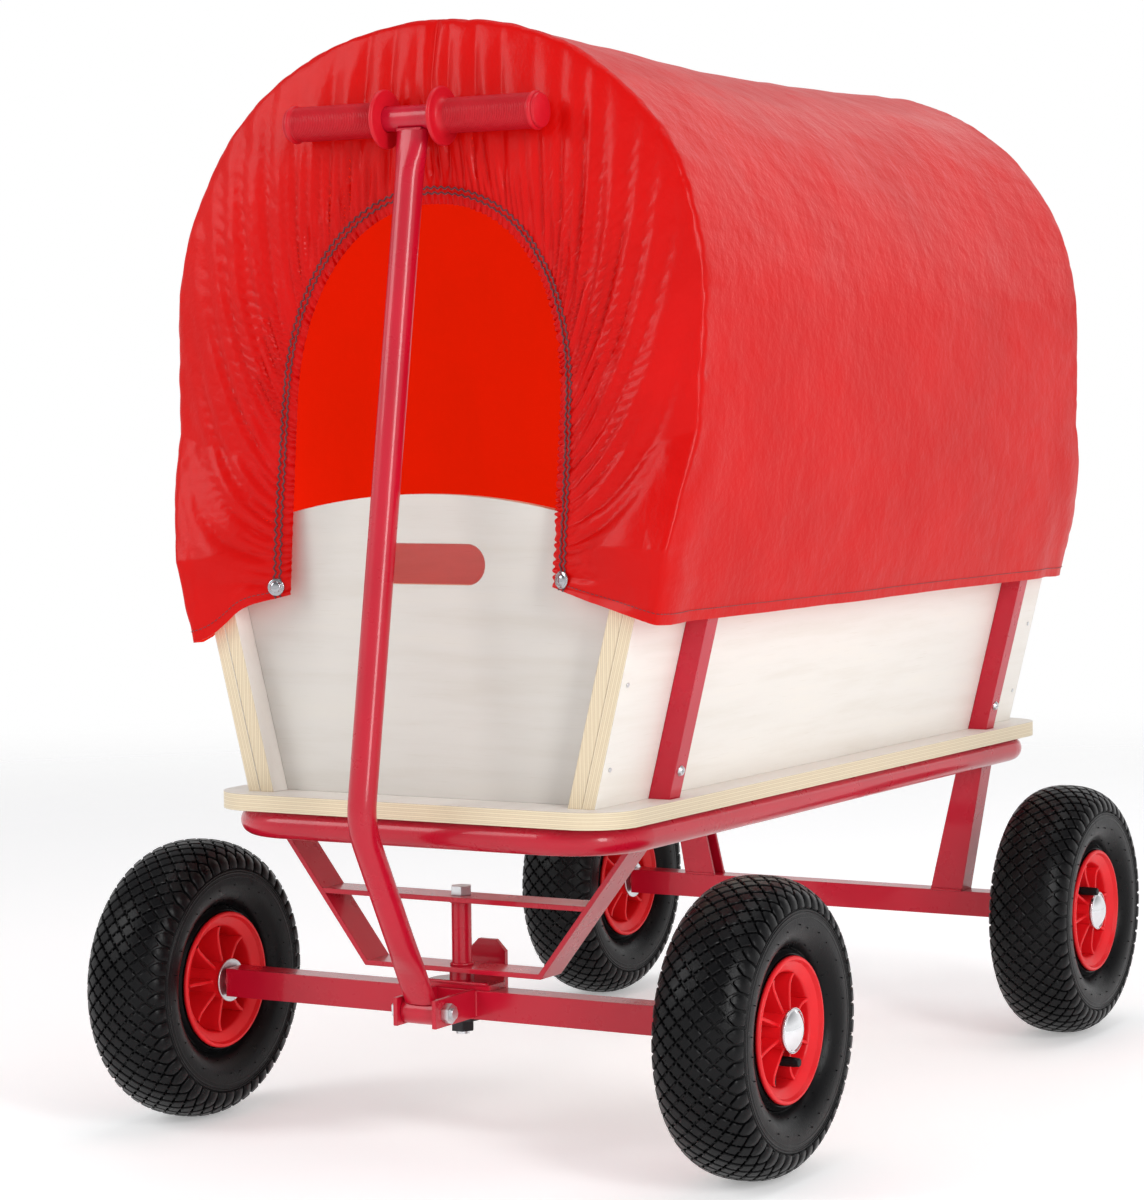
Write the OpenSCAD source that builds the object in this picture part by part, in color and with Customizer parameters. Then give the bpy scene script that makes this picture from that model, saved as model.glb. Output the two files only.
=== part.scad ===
// Four-wheeled garden and play wagon: plywood box on a bent tube frame, pneumatic wheels,
// steered front axle with a pull handle, and a fabric cover over two hoops.
// The front, with the handle, faces -Y, and the ground is at z = 0.

/* [Wheels] */
// Outer radius of the tyre
tyre_r = 130; // [120:1:136]
// Widest half width of the tyre
tyre_half_w = 42.5; // [40:0.5:44]
// Radius of the rim's flange
rim_r = 63.5; // [62:0.5:66]
// Radius of the round stub axles
stub_r = 10; // [9:0.5:11]
// Half track of the front wheels
front_track = 294; // [288:1:300]
// Half track of the rear wheels
rear_track = 280; // [276:1:288]

/* [Axles] */
// Place of the front axle along the wagon
front_axle_y = -388; // [-392:1:-384]
// Place of the rear axle along the wagon
rear_axle_y = 368; // [350:1:372]
// Side of the square axle tubes
axle_side = 26; // [24:1:28]

/* [Box] */
// Half width of the plywood deck
deck_half_w = 211; // [208:1:216]
// Half length of the plywood deck
deck_half_l = 485; // [480:1:490]
// Height of the deck's top above the ground
deck_top = 318.5; // [316:0.5:322]
// Thickness of the deck
deck_t = 15; // [12:1:16]
// Half width over the side panels at the deck
box_half_w = 179; // [176:1:182]
// Outward lean of the side panels in degrees
flare = 14; // [12:0.5:15]
// Height of the side panels' top edge
side_top = 530; // [520:1:534]
// Thickness of the upright panels
panel_t = 12; // [10:1:12]

/* [Frame] */
// Outer radius of the bent frame tube
frame_tube_r = 12.5; // [11:0.5:13]
// Side of the square stakes
stake_side = 20; // [18:1:20]
// Distance of the stakes from the middle of the wagon
stake_y = 355; // [345:1:365]

/* [Cover] */
// Widest half width of the fabric cover
cover_half_w = 274; // [270:1:278]
// Height of the cover's top
cover_top = 1003; // [990:1:1010]
// Height of the cover's hem
cover_hem = 478; // [474:1:484]
// Half width of the arched openings
opening_half_w = 136; // [130:1:142]
// Height of the top of the arched openings
opening_top = 840; // [820:1:850]

/* [Pull handle] */
// Outer radius of the handle tube
handle_r = 12.5; // [11:0.5:13]
// Height of the cross tube with the grips
grip_z = 913; // [900:1:920]
// Half width over the grips
grip_half_w = 131; // [125:1:140]

/* [Hidden] */

RED = "#b3122b";
RIM_RED = "#dc1a20";
COVER_RED = "#e8231a";
PLY = "#ece0c6";
BLACK = "#1b1b1e";
STEEL = "#c9ccd0";

SMOOTH = 64;
FINE = 32;
THROUGH = 1;       // cutters run this far past the faces they open
PIN_GAP = 0.05;    // radial clearance of a running fit
WELD_GAP = 0.02;   // gap at a weld between two pieces
SIDES = [-1, 1];

axle_z = tyre_r;
axle_top = axle_z + axle_side / 2;
axle_bottom = axle_z - axle_side / 2;
deck_bottom = deck_top - deck_t;
frame_z = deck_bottom - frame_tube_r - WELD_GAP;
frame_half_w = deck_half_w - frame_tube_r - 2.5;
frame_half_l = deck_half_l - frame_tube_r - 2.5;
frame_bend_r = 62;
tube_wall = 1.5;

// wheel, measured along its own axle with + to the outside
hub_in = -38;
hub_out = 33;
hub_r = 17;
rim_flange_x = 35.5;
barrel_in_r = 48.5;
barrel_out_r = 52;
bead_r = 53.6;
washer_t = 2;
washer_r = 20;
washer_gap = 0.3;
stub_end = 40;
square_end = 43.5;
cap_h = 8;
rib_count = 8;
valve_r = 4;
valve_x = 15;
valve_orbit = 27;
valve_end = 35;

// steering
kingpin_r = 6;
kingpin_tube_r = 9;
strap_w = 36;
strap_t = 4.5;
strap_low_z = 158.5;
strap_low_half = 92;
strap_top_x = 192;
strap_top_z = frame_z - 2;
cross_z = 221.5;
plate_t = 5;
stop_y = 43;
stop_half_w = 19;
stop_top = 180;
stop_bottom = 134;
pivot_y = front_axle_y - 64;
pivot_z = axle_z + 1;
clevis_out = 22;
clevis_t = 4;
clevis_bolt_r = 5;
bush_r = 11.5;

// pull handle
bend_y = -549;
bend_z = 306;
bend_r = 60;
cross_r = 11;
grip_r = 15.5;
grip_flange_r = 26;
grip_start = 27;
grip_end_t = 5;
cross_y = -450;
BAR_SIDES = 48;
BEND_STEPS = 12;

// box
panel_front_y = 437;
side_end_y = 460;
cleat_w = 14;
cleat_end_y = side_end_y - 0.5;
panel_slot_w = 118;
panel_slot_h = 36;
panel_slot_z = 524.5;
panel_top_z = 586;
panel_arch_r = 620;
panel_gap = 0.3;
deck_corner_r = 45;
lean = tan(flare);
side_run = panel_t / cos(flare);

// cover
cover_t = 2;
face_t = 2;
shoulder_z = 740;
arch_pow = 2.15;
side_pow = 2.2;
hem_half_w = 247;
hoop_r = 5;
stake_top = 550;
open_foot_z = 507;
open_shoulder_z = 665;
open_foot_y = 452;
open_top_y = 420;
SIDE_STEPS = 5;
ARCH_STEPS = 9;

// Half width over the outer face of a side panel at a height
function panel_out(z) = box_half_w + (z - deck_top) * lean;

// Half width of the cover at a height below its shoulder
function cover_side(z) =
  cover_half_w - (cover_half_w - hem_half_w) *
  pow((shoulder_z - z) / (shoulder_z - cover_hem), side_pow);

// One side of an arch from its foot to its crown: a flared leg, then a rounded shoulder
function half_arch(inset) = concat(
  [for (i = [0 : SIDE_STEPS - 1])
    let (z = cover_hem + (shoulder_z - cover_hem) * i / SIDE_STEPS) [cover_side(z) - inset, z]],
  [for (i = [0 : ARCH_STEPS])
    let (a = 90 * i / ARCH_STEPS)
    [(cover_half_w - inset) * pow(cos(a), 2 / arch_pow),
     shoulder_z + (cover_top - inset - shoulder_z) * pow(sin(a), 2 / arch_pow)]]
);

// The whole arch, from the foot at +X over the crown to the foot at -X
function full_arch(half) = concat(
  half, [for (i = [len(half) - 2 : -1 : 0]) [-half[i][0], half[i][1]]]
);

// One side of the arched opening, with as many points as half_arch
function half_opening() = concat(
  [for (i = [0 : SIDE_STEPS - 1])
    [opening_half_w, open_foot_z + (open_shoulder_z - open_foot_z) * i / SIDE_STEPS]],
  [for (i = [0 : ARCH_STEPS])
    let (a = 90 * i / ARCH_STEPS)
    [opening_half_w * pow(cos(a), 2 / arch_pow),
     open_shoulder_z + (opening_top - open_shoulder_z) * pow(sin(a), 2 / arch_pow)]]
);

// Distance of the cover's edge from the middle of the wagon, by height
function cover_reach(z) = 434 + 40 * min(1, max(0, (640 - z) / 100)) - max(0, z - 640) * 0.05;

// Distance of the opening's edge from the middle of the wagon, by height
function opening_reach(z) =
  open_foot_y - (open_foot_y - open_top_y) * (z - open_foot_z) / (opening_top - open_foot_z);

// Closed skin through rings of the same number of points
module skin(rings) {
  n = len(rings[0]);
  m = len(rings);
  polyhedron(
    points = [for (ring = rings) each ring],
    faces = concat(
      [[for (i = [0 : n - 1]) i]],
      [[for (i = [n - 1 : -1 : 0]) (m - 1) * n + i]],
      [for (k = [0 : m - 2], i = [0 : n - 1])
        let (j = (i + 1) % n)
        [k * n + i, (k + 1) * n + i, (k + 1) * n + j, k * n + j]]
    ),
    convexity = 6
  );
}

// Cylinder along +X from x = a to x = b
module bar_x(a, b, r, fn = SMOOTH) {
  translate([a, 0, 0]) rotate([0, 90, 0]) cylinder(h = b - a, r = r, $fn = fn);
}

// ---- frame ----

module frame_ring(r) {
  straight_x = frame_half_w - frame_bend_r;
  straight_y = frame_half_l - frame_bend_r;
  translate([0, 0, frame_z]) {
    for (s = SIDES) {
      translate([s * frame_half_w, -straight_y, 0])
        rotate([-90, 0, 0]) cylinder(h = 2 * straight_y, r = r, $fn = SMOOTH);
      translate([-straight_x, s * frame_half_l, 0])
        rotate([0, 90, 0]) cylinder(h = 2 * straight_x, r = r, $fn = SMOOTH);
    }
    for (k = [0 : 3])
      translate([(k == 0 || k == 3 ? 1 : -1) * straight_x, (k < 2 ? 1 : -1) * straight_y, 0])
        rotate([0, 0, 90 * k])
          rotate_extrude(angle = 90, $fn = SMOOTH)
            translate([frame_bend_r, 0]) circle(r = r, $fn = FINE);
  }
}

module bed_frame() {
  color(RED) difference() {
    frame_ring(frame_tube_r);
    frame_ring(frame_tube_r - tube_wall);
  }
}

// ---- plywood box ----

module deck() {
  slot = stake_side + 2;
  slot_mid = panel_out(deck_top - deck_t / 2) + stake_side / 2;
  color(PLY) difference() {
    translate([0, 0, deck_bottom])
      linear_extrude(deck_t) {
        square([2 * deck_half_w, 2 * (deck_half_l - deck_corner_r)], center = true);
        square([2 * (deck_half_w - deck_corner_r), 2 * deck_half_l], center = true);
        for (sx = SIDES, sy = SIDES)
          translate([sx * (deck_half_w - deck_corner_r), sy * (deck_half_l - deck_corner_r)])
            circle(r = deck_corner_r, $fn = SMOOTH);
      }
    for (sx = SIDES, sy = SIDES)
      translate([sx * slot_mid - slot / 2 - 3, sy * stake_y - slot / 2, deck_bottom - THROUGH])
        cube([slot + 6, slot, deck_t + 2 * THROUGH]);
  }
}

module side_panel(s) {
  foot = panel_out(deck_top);
  head = panel_out(side_top);
  color(PLY)
    translate([0, side_end_y, 0]) rotate([90, 0, 0])
      linear_extrude(2 * side_end_y)
        polygon([
          [s * foot, deck_top], [s * head, side_top],
          [s * (head - side_run), side_top], [s * (foot - side_run), deck_top]
        ]);
}

// Sloping strip between two heights, inset from the outer face of a side panel
module cleat(s, y0, y1) {
  z_top = side_top - 2;
  foot = panel_out(deck_top) - side_run - panel_gap;
  head = panel_out(z_top) - side_run - panel_gap;
  translate([0, max(y0, y1), 0]) rotate([90, 0, 0])
    linear_extrude(abs(y1 - y0))
      polygon([
        [s * foot, deck_top], [s * head, z_top],
        [s * (head - cleat_w), z_top], [s * (foot - cleat_w), deck_top]
      ]);
}

module cleats(e) {
  color(PLY) for (s = SIDES) {
    cleat(s, e * cleat_end_y, e * (panel_front_y + panel_gap));
    cleat(s, e * (panel_front_y - panel_t - panel_gap), e * (panel_front_y - panel_t - 22));
  }
}

module cleat_nails() {
  color(STEEL)
    for (s = SIDES, e = SIDES, z = [352, 425, 498])
      translate([s * (panel_out(z) + 0.15), e * (side_end_y - 12), z])
        rotate([0, s * (90 + flare), 0])
          cylinder(h = 0.8, r = 2, $fn = FINE);
}

module end_panel(e) {
  foot = panel_out(deck_top) - side_run - panel_gap;
  head_z = side_top + 14;
  head = panel_out(head_z) - side_run - panel_gap;
  color(PLY)
    translate([0, e > 0 ? panel_front_y : -panel_front_y + panel_t, 0]) rotate([90, 0, 0])
      linear_extrude(panel_t) difference() {
        intersection() {
          polygon([[-foot, deck_top], [foot, deck_top], [head, head_z], [head, cover_top],
                   [-head, cover_top], [-head, head_z]]);
          translate([0, panel_top_z - panel_arch_r]) circle(r = panel_arch_r, $fn = 200);
        }
        for (s = SIDES)
          translate([s * (panel_slot_w - panel_slot_h) / 2, panel_slot_z])
            circle(r = panel_slot_h / 2, $fn = SMOOTH);
        translate([-(panel_slot_w - panel_slot_h) / 2, panel_slot_z - panel_slot_h / 2])
          square([panel_slot_w - panel_slot_h, panel_slot_h]);
      }
}

// ---- stakes and hoops ----

// Square tube leaning with the side panel, welded on the frame tube
module stake(sx, sy) {
  foot_z = frame_z - 6;
  mid = panel_gap / cos(flare) + stake_side / 2 / cos(flare);
  x0 = panel_out(foot_z) + mid;
  x1 = panel_out(stake_top) + mid;
  half = stake_side / 2;
  half_run = half / cos(flare);
  inner = half - tube_wall;
  inner_run = inner / cos(flare);
  color(RED) difference() {
    translate([0, sy * stake_y + half, 0]) rotate([90, 0, 0])
      linear_extrude(stake_side)
        polygon([
          [sx * (x0 - half_run), foot_z], [sx * (x0 + half_run), foot_z],
          [sx * (x1 + half_run), stake_top], [sx * (x1 - half_run), stake_top]
        ]);
    translate([0, sy * stake_y + inner, 0]) rotate([90, 0, 0])
      linear_extrude(2 * inner)
        polygon([
          [sx * (x0 - inner_run), foot_z - THROUGH * 4], [sx * (x0 + inner_run), foot_z - THROUGH * 4],
          [sx * (x1 + inner_run + lean * THROUGH), stake_top + THROUGH],
          [sx * (x1 - inner_run + lean * THROUGH), stake_top + THROUGH]
        ]);
    frame_ring(frame_tube_r + WELD_GAP);
  }
}

module stake_screws() {
  z = 343;
  color(STEEL)
    for (sx = SIDES, sy = SIDES)
      translate([sx * (panel_out(z) + (stake_side + panel_gap) / cos(flare) + 0.1),
                 sy * stake_y, z])
        rotate([0, sx * (90 + flare), 0]) difference() {
          cylinder(h = 2.4, r1 = 5, r2 = 3.6, $fn = FINE);
          for (a = [0, 90])
            rotate([0, 0, a]) translate([-2.5, -0.5, 1.4]) cube([5, 1, 2]);
        }
}

// Points of a hoop's centre line, from the stake at +X over the crown to the stake at -X
function hoop_line(e) =
  let (
    lane = cover_t + hoop_r + 1.5,
    mid = (panel_gap + stake_side / 2) / cos(flare),
    arch = half_arch(lane),
    feet = [for (z = [515, stake_top]) [panel_out(z) + mid, e * stake_y, z]],
    knee = [[cover_side(610) - lane, e * (stake_y + 30), 610]],
    side = [for (i = [SIDE_STEPS - 1 : len(arch) - 1])
      [arch[i][0], e * (cover_reach(arch[i][1]) - 10), arch[i][1]]],
    half = concat(feet, knee, side)
  )
  concat(half, [for (i = [len(half) - 2 : -1 : 0]) [-half[i][0], half[i][1], half[i][2]]]);

// Direction of a line at one of its points
function along(line, i) =
  let (d = line[min(i + 1, len(line) - 1)] - line[max(i - 1, 0)]) d / norm(d);

module hoop(e) {
  line = hoop_line(e);
  n = 10;
  color(STEEL) skin([
    for (i = [0 : len(line) - 1])
      let (d = along(line, i), u = [0, 1, 0] - d[1] * d, v = u / norm(u), w = cross(d, v))
      [for (k = [0 : n - 1]) line[i] + hoop_r * (cos(360 * k / n) * v + sin(360 * k / n) * w)]
  ]);
}

// ---- cover ----

// Solid strip bounded by four lines of points that run side by side along it
module strip(lines, flip) {
  n = len(lines[0]);
  sides = [for (k = [0 : 3], i = [0 : n - 2])
    let (m = (k + 1) % 4) [k * n + i, m * n + i, m * n + i + 1, k * n + i + 1]];
  ends = [[3 * n, 2 * n, n, 0], [n - 1, 2 * n - 1, 3 * n - 1, 4 * n - 1]];
  faces = [for (q = concat(sides, ends)) each [[q[0], q[1], q[2]], [q[0], q[2], q[3]]]];
  polyhedron(
    points = [for (line = lines) each line],
    faces = [for (f = faces) flip ? [f[2], f[1], f[0]] : f],
    convexity = 6
  );
}

module canopy_cover() {
  outer = full_arch(half_arch(0));
  inner = full_arch(half_arch(cover_t));
  reach = [for (p = outer) cover_reach(p[1])];
  color(COVER_RED) strip([
    for (edge = [[outer, -1], [outer, 1], [inner, 1], [inner, -1]])
      [for (i = [0 : len(outer) - 1])
        [edge[0][i][0], edge[1] * reach[i], edge[0][i][1]]]
  ], true);
}

// Gathered end face between the cover's edge and the arched opening
module canopy_face(e) {
  rim = full_arch(half_arch(cover_t + 0.4));
  hole = full_arch(half_opening());
  color(COVER_RED) strip([
    [for (p = rim) [p[0], e * (cover_reach(p[1]) - 0.5), p[1]]],
    [for (p = hole) [p[0], e * opening_reach(p[1]), p[1]]],
    [for (p = hole) [p[0], e * (opening_reach(p[1]) - face_t), p[1]]],
    [for (p = rim) [p[0], e * (cover_reach(p[1]) - 0.5 - face_t), p[1]]]
  ], e > 0);
}

module canopy_snaps() {
  z = 517;
  color(STEEL)
    for (s = SIDES, e = SIDES)
      translate([s * (opening_half_w + 9), e * (opening_reach(z) + 5.2), z])
        rotate([-e * 90, 0, 0]) {
          cylinder(h = 1.2, r = 7.5, $fn = FINE);
          translate([0, 0, 1.2]) cylinder(h = 1.8, r1 = 7.5, r2 = 4.5, $fn = FINE);
        }
}

// ---- front bracket ----

// Sides of the bent strap: a level bar with two legs that rise outwards
module strap_profile() {
  rise = strap_top_z - strap_low_z;
  run = strap_top_x - strap_low_half;
  leg_t = strap_t * norm([rise, run]) / rise;
  polygon([
    [-strap_low_half, strap_low_z], [strap_low_half, strap_low_z],
    [strap_top_x, strap_top_z], [strap_top_x - leg_t, strap_top_z],
    [strap_low_half - leg_t + strap_t * run / rise, strap_low_z + strap_t],
    [-(strap_low_half - leg_t + strap_t * run / rise), strap_low_z + strap_t],
    [-(strap_top_x - leg_t), strap_top_z], [-strap_top_x, strap_top_z]
  ]);
}

module bracket_strap() {
  color(RED) difference() {
    translate([0, front_axle_y + strap_w / 2, 0]) rotate([90, 0, 0])
      linear_extrude(strap_w) strap_profile();
    translate([0, front_axle_y, strap_low_z - THROUGH])
      cylinder(h = strap_t + 2 * THROUGH, r = kingpin_r + PIN_GAP, $fn = SMOOTH);
    frame_ring(frame_tube_r + WELD_GAP);
  }
}

// Inner face of a bracket leg at a height
function leg_inner(z) =
  let (
    rise = strap_top_z - strap_low_z,
    run = strap_top_x - strap_low_half,
    leg_t = strap_t * norm([rise, run]) / rise
  )
  strap_low_half - leg_t + (z - strap_low_z) * run / rise;

module bracket_crossbar() {
  low = leg_inner(cross_z) - WELD_GAP * 2;
  high = leg_inner(cross_z + strap_t) - WELD_GAP * 2;
  color(RED) difference() {
    translate([0, front_axle_y + strap_w / 2, 0]) rotate([90, 0, 0])
      linear_extrude(strap_w)
        polygon([[-low, cross_z], [low, cross_z], [high, cross_z + strap_t],
                 [-high, cross_z + strap_t]]);
    translate([0, front_axle_y, cross_z - THROUGH])
      cylinder(h = strap_t + 2 * THROUGH, r = kingpin_r + PIN_GAP, $fn = SMOOTH);
  }
}

module kingpin_tube() {
  z0 = strap_low_z + strap_t + WELD_GAP;
  color(RED) translate([0, front_axle_y, z0]) difference() {
    cylinder(h = cross_z - WELD_GAP - z0, r = kingpin_tube_r, $fn = SMOOTH);
    translate([0, 0, -THROUGH])
      cylinder(h = cross_z - z0 + THROUGH, r = kingpin_r + PIN_GAP, $fn = SMOOTH);
  }
}

// ---- axles ----

// Square tube with a round stub at each end, across the wagon
module axle(y, track) {
  half = track - square_end;
  inner = axle_side - 2 * tube_wall;
  translate([0, y, axle_z]) {
    difference() {
      translate([-half, -axle_side / 2, -axle_side / 2])
        cube([2 * half, axle_side, axle_side]);
      for (s = SIDES)
        translate([s > 0 ? kingpin_r + 4 : -half + 10, -inner / 2, -inner / 2])
          cube([half - kingpin_r - 14, inner, inner]);
    }
    for (s = SIDES)
      mirror([s < 0 ? 1 : 0, 0, 0])
        bar_x(half - 5, track + stub_end, stub_r);
  }
}

module rear_axle() {
  color(RED) axle(rear_axle_y, rear_track);
}

module front_axle() {
  color(RED) difference() {
    axle(front_axle_y, front_track);
    translate([0, front_axle_y, axle_bottom - THROUGH])
      cylinder(h = axle_side + 2 * THROUGH, r = kingpin_r + PIN_GAP, $fn = SMOOTH);
  }
}

// Channel between the rear axle and the frame, open to the middle, wider at the foot
module rear_leg(s) {
  z0 = axle_top + WELD_GAP;
  z1 = frame_z - 7;
  depth = axle_side;
  wall = 3;
  out0 = 167;
  out1 = 192;
  in0 = 131;
  in1 = 164;
  color(RED) difference() {
    translate([0, rear_axle_y + depth / 2, 0]) rotate([90, 0, 0])
      linear_extrude(depth)
        polygon([[s * in0, z0], [s * out0, z0], [s * out1, z1], [s * in1, z1]]);
    translate([0, rear_axle_y + depth / 2 - wall, 0]) rotate([90, 0, 0])
      linear_extrude(depth - 2 * wall)
        polygon([
          [s * (in0 - THROUGH * 4), z0 - THROUGH], [s * (out0 - wall), z0 - THROUGH],
          [s * (out1 - wall), z1 + THROUGH], [s * (in1 - THROUGH * 4), z1 + THROUGH]
        ]);
    frame_ring(frame_tube_r + WELD_GAP);
  }
}

// Ring on the stub axle
module washer(x0, x1, r) {
  difference() {
    bar_x(x0, x1, r);
    bar_x(x0 - THROUGH, x1 + THROUGH, stub_r + PIN_GAP);
  }
}

module washers(y, track) {
  color(STEEL)
    for (s = SIDES)
      translate([s * track, y, axle_z]) mirror([s < 0 ? 1 : 0, 0, 0]) {
        washer(hub_in - washer_gap - washer_t, hub_in - washer_gap, washer_r);
        washer(hub_out + washer_gap, hub_out + washer_gap + washer_t, washer_r - 2);
      }
}

// Domed caps pressed on the ends of the stub axles
module hub_caps(y, track) {
  base = hub_out + washer_gap + washer_t + 0.1;
  dome_r = (pow(washer_r, 2) + pow(cap_h, 2)) / (2 * cap_h);
  color(STEEL)
    for (s = SIDES)
      translate([s * track, y, axle_z]) mirror([s < 0 ? 1 : 0, 0, 0]) difference() {
        translate([base, 0, 0]) rotate([0, 90, 0])
          rotate_extrude($fn = SMOOTH) intersection() {
            translate([0, cap_h - dome_r]) circle(r = dome_r, $fn = 96);
            square([washer_r + 1, cap_h + 1]);
          }
        bar_x(base - THROUGH, stub_end + 0.2, stub_r + PIN_GAP);
      }
}

// ---- steering ----

module steering_plate() {
  y0 = front_axle_y - axle_side / 2 + 1;
  y1 = front_axle_y + stop_y;
  z0 = axle_top + WELD_GAP;
  corner = 10;
  color(RED) difference() {
    union() {
      translate([0, 0, z0]) linear_extrude(plate_t)
        polygon([[-36, y0], [36, y0], [36, y0 + axle_side], [stop_half_w, y1],
                 [-stop_half_w, y1], [-36, y0 + axle_side]]);
      translate([0, y1 + plate_t, 0]) rotate([90, 0, 0]) linear_extrude(plate_t)
        polygon([
          [-stop_half_w, stop_bottom], [stop_half_w, stop_bottom],
          [stop_half_w, stop_top - corner], [stop_half_w - corner, stop_top],
          [-stop_half_w + corner, stop_top], [-stop_half_w, stop_top - corner]
        ]);
      translate([0, front_axle_y, z0])
        cylinder(h = strap_low_z - z0 - 0.3, r = bush_r, $fn = SMOOTH);
    }
    translate([0, front_axle_y, z0 - THROUGH])
      cylinder(h = strap_low_z - z0 + THROUGH, r = kingpin_r + PIN_GAP, $fn = SMOOTH);
  }
}

module clevis_plates() {
  y_back = front_axle_y - axle_side / 2 - WELD_GAP;
  y_front = pivot_y - 16;
  color(RED) for (s = SIDES) difference() {
    translate([s > 0 ? clevis_out - clevis_t : -clevis_out, y_front, axle_bottom + 2])
      cube([clevis_t, y_back - y_front, axle_side - 1]);
    translate([0, pivot_y, pivot_z])
      bar_x(-clevis_out - THROUGH, clevis_out + THROUGH, clevis_bolt_r + PIN_GAP);
  }
}

module kingpin_bolt() {
  z_head = cross_z + strap_t + 0.3;
  z_end = axle_bottom - 16;
  color(STEEL) translate([0, front_axle_y, 0]) {
    translate([0, 0, z_end]) cylinder(h = z_head - z_end + 1, r = kingpin_r, $fn = SMOOTH);
    translate([0, 0, z_head]) cylinder(h = 8, r = 10, $fn = 6);
  }
}

// Wide washer and lock nut under the front axle
module kingpin_nut() {
  z = axle_bottom - 0.1;
  color(BLACK) translate([0, front_axle_y, 0]) difference() {
    union() {
      translate([0, 0, z - 3]) cylinder(h = 3, r = 17, $fn = SMOOTH);
      translate([0, 0, z - 13]) cylinder(h = 10.5, r = 11, $fn = 6);
    }
    translate([0, 0, z - 20]) cylinder(h = 30, r = kingpin_r + PIN_GAP, $fn = SMOOTH);
  }
}

module clevis_bolt() {
  nut_h = 7;
  color(STEEL) translate([0, pivot_y, pivot_z]) {
    bar_x(-clevis_out - 1, clevis_out + nut_h + 3, clevis_bolt_r);
    bar_x(-clevis_out - 0.2 - nut_h, -clevis_out - 0.2, 9, 6);
    bar_x(clevis_out + 0.2, clevis_out + 0.2 + nut_h, 9, 6);
  }
}

// ---- pull handle ----

// Angle of a leg of the handle from the vertical, positive to the front
leg_angle = atan2(pivot_y - bend_y, bend_z - pivot_z);
neck_angle = atan2(bend_y - cross_y, grip_z - bend_z);
bend_angle = leg_angle - neck_angle;
tangent_len = bend_r * tan(bend_angle / 2);

// Point of the handle's middle line on its bend, as [place along the wagon, height]
function on_bend(turn) =
  let (y0 = bend_y + tangent_len * sin(leg_angle), z0 = bend_z - tangent_len * cos(leg_angle))
  [y0 + bend_r * (cos(leg_angle) - cos(turn)), z0 + bend_r * (sin(leg_angle) - sin(turn))];

// Point at a distance from the bend's corner, below it on the leg or above it on the neck
function on_leg(d) = [bend_y + d * sin(leg_angle), bend_z - d * cos(leg_angle)];
function on_neck(d) = [bend_y - d * sin(neck_angle), bend_z + d * cos(neck_angle)];

// Ring of the handle tube round a point, square to a direction
function bar_ring(at, turn, half_w, half_t, power) = [
  for (i = [0 : BAR_SIDES - 1])
    let (
      c = cos(360 * i / BAR_SIDES),
      s = sin(360 * i / BAR_SIDES),
      v = half_t * sign(s) * pow(abs(s), 2 / power)
    )
    [half_w * sign(c) * pow(abs(c), 2 / power), at[0] + v * cos(turn), at[1] + v * sin(turn)]
];

// Bent tube, pressed flat where it meets the bush below and the cross tube above
module drawbar() {
  leg_len = norm([bend_y - pivot_y, bend_z - pivot_z]);
  neck_len = norm([cross_y - bend_y, grip_z - bend_z]);
  foot = leg_len - bush_r - 0.05;
  head = neck_len - cross_r - 0.05;
  color(RED) skin(concat(
    [bar_ring(on_leg(foot), leg_angle, 15, 6, 3)],
    [bar_ring(on_leg(foot - 26), leg_angle, 15, 6, 3)],
    [for (i = [0 : 6])
      let (k = (1 - cos(30 * i)) / 2)
      bar_ring(on_leg(foot - 28 - 6 * i), leg_angle, 15 - (15 - handle_r) * k,
               6 + (handle_r - 6) * k, 3 - k)],
    [for (i = [0 : BEND_STEPS])
      let (turn = leg_angle - bend_angle * i / BEND_STEPS)
      bar_ring(on_bend(turn), turn, handle_r, handle_r, 2)],
    [for (i = [0 : 6])
      let (k = (1 - cos(30 * i)) / 2)
      bar_ring(on_neck(head - 44 + 7 * i), neck_angle, handle_r + 2.5 * k,
               handle_r - 5 * k, 2 + 0.6 * k)],
    [bar_ring(on_neck(head), neck_angle, 15, 7.5, 2.6)]
  ));
}

module drawbar_bush() {
  half = clevis_out - clevis_t - 0.4;
  color(RED) translate([0, pivot_y, pivot_z]) difference() {
    bar_x(-half, half, bush_r);
    bar_x(-half - THROUGH, half + THROUGH, clevis_bolt_r + PIN_GAP);
  }
}

module cross_tube() {
  half = grip_half_w - grip_end_t;
  color(RED) translate([0, cross_y, grip_z]) difference() {
    bar_x(-half, half, cross_r);
    for (s = SIDES)
      mirror([s < 0 ? 1 : 0, 0, 0]) bar_x(25, half + THROUGH, cross_r - tube_wall);
  }
}

// Ribbed grip with a round flange towards the middle and a closed rounded end
module grip(s) {
  slip = 0.1;
  rib_pitch = 4;
  rib_from = grip_start + 12;
  color(RIM_RED)
    translate([0, cross_y, grip_z]) mirror([s < 0 ? 1 : 0, 0, 0]) rotate([0, 90, 0])
      rotate_extrude($fn = SMOOTH) difference() {
        union() {
          translate([0, grip_start]) square([grip_r - 1, grip_half_w - grip_start - 2]);
          translate([0, grip_half_w - 6]) square([grip_r - 3, 6]);
          translate([0, grip_start]) square([grip_flange_r - 2, 4.5]);
          translate([grip_flange_r - 2.25, grip_start + 2.25]) circle(r = 2.25, $fn = FINE);
          for (x = [rib_from : rib_pitch : grip_half_w - 12])
            translate([grip_r - 2, x]) square([2, rib_pitch / 2]);
        }
        translate([0, grip_start - THROUGH])
          square([cross_r + slip, grip_half_w - grip_start - grip_end_t + THROUGH + 0.2]);
      }
}

// ---- wheels ----

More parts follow.
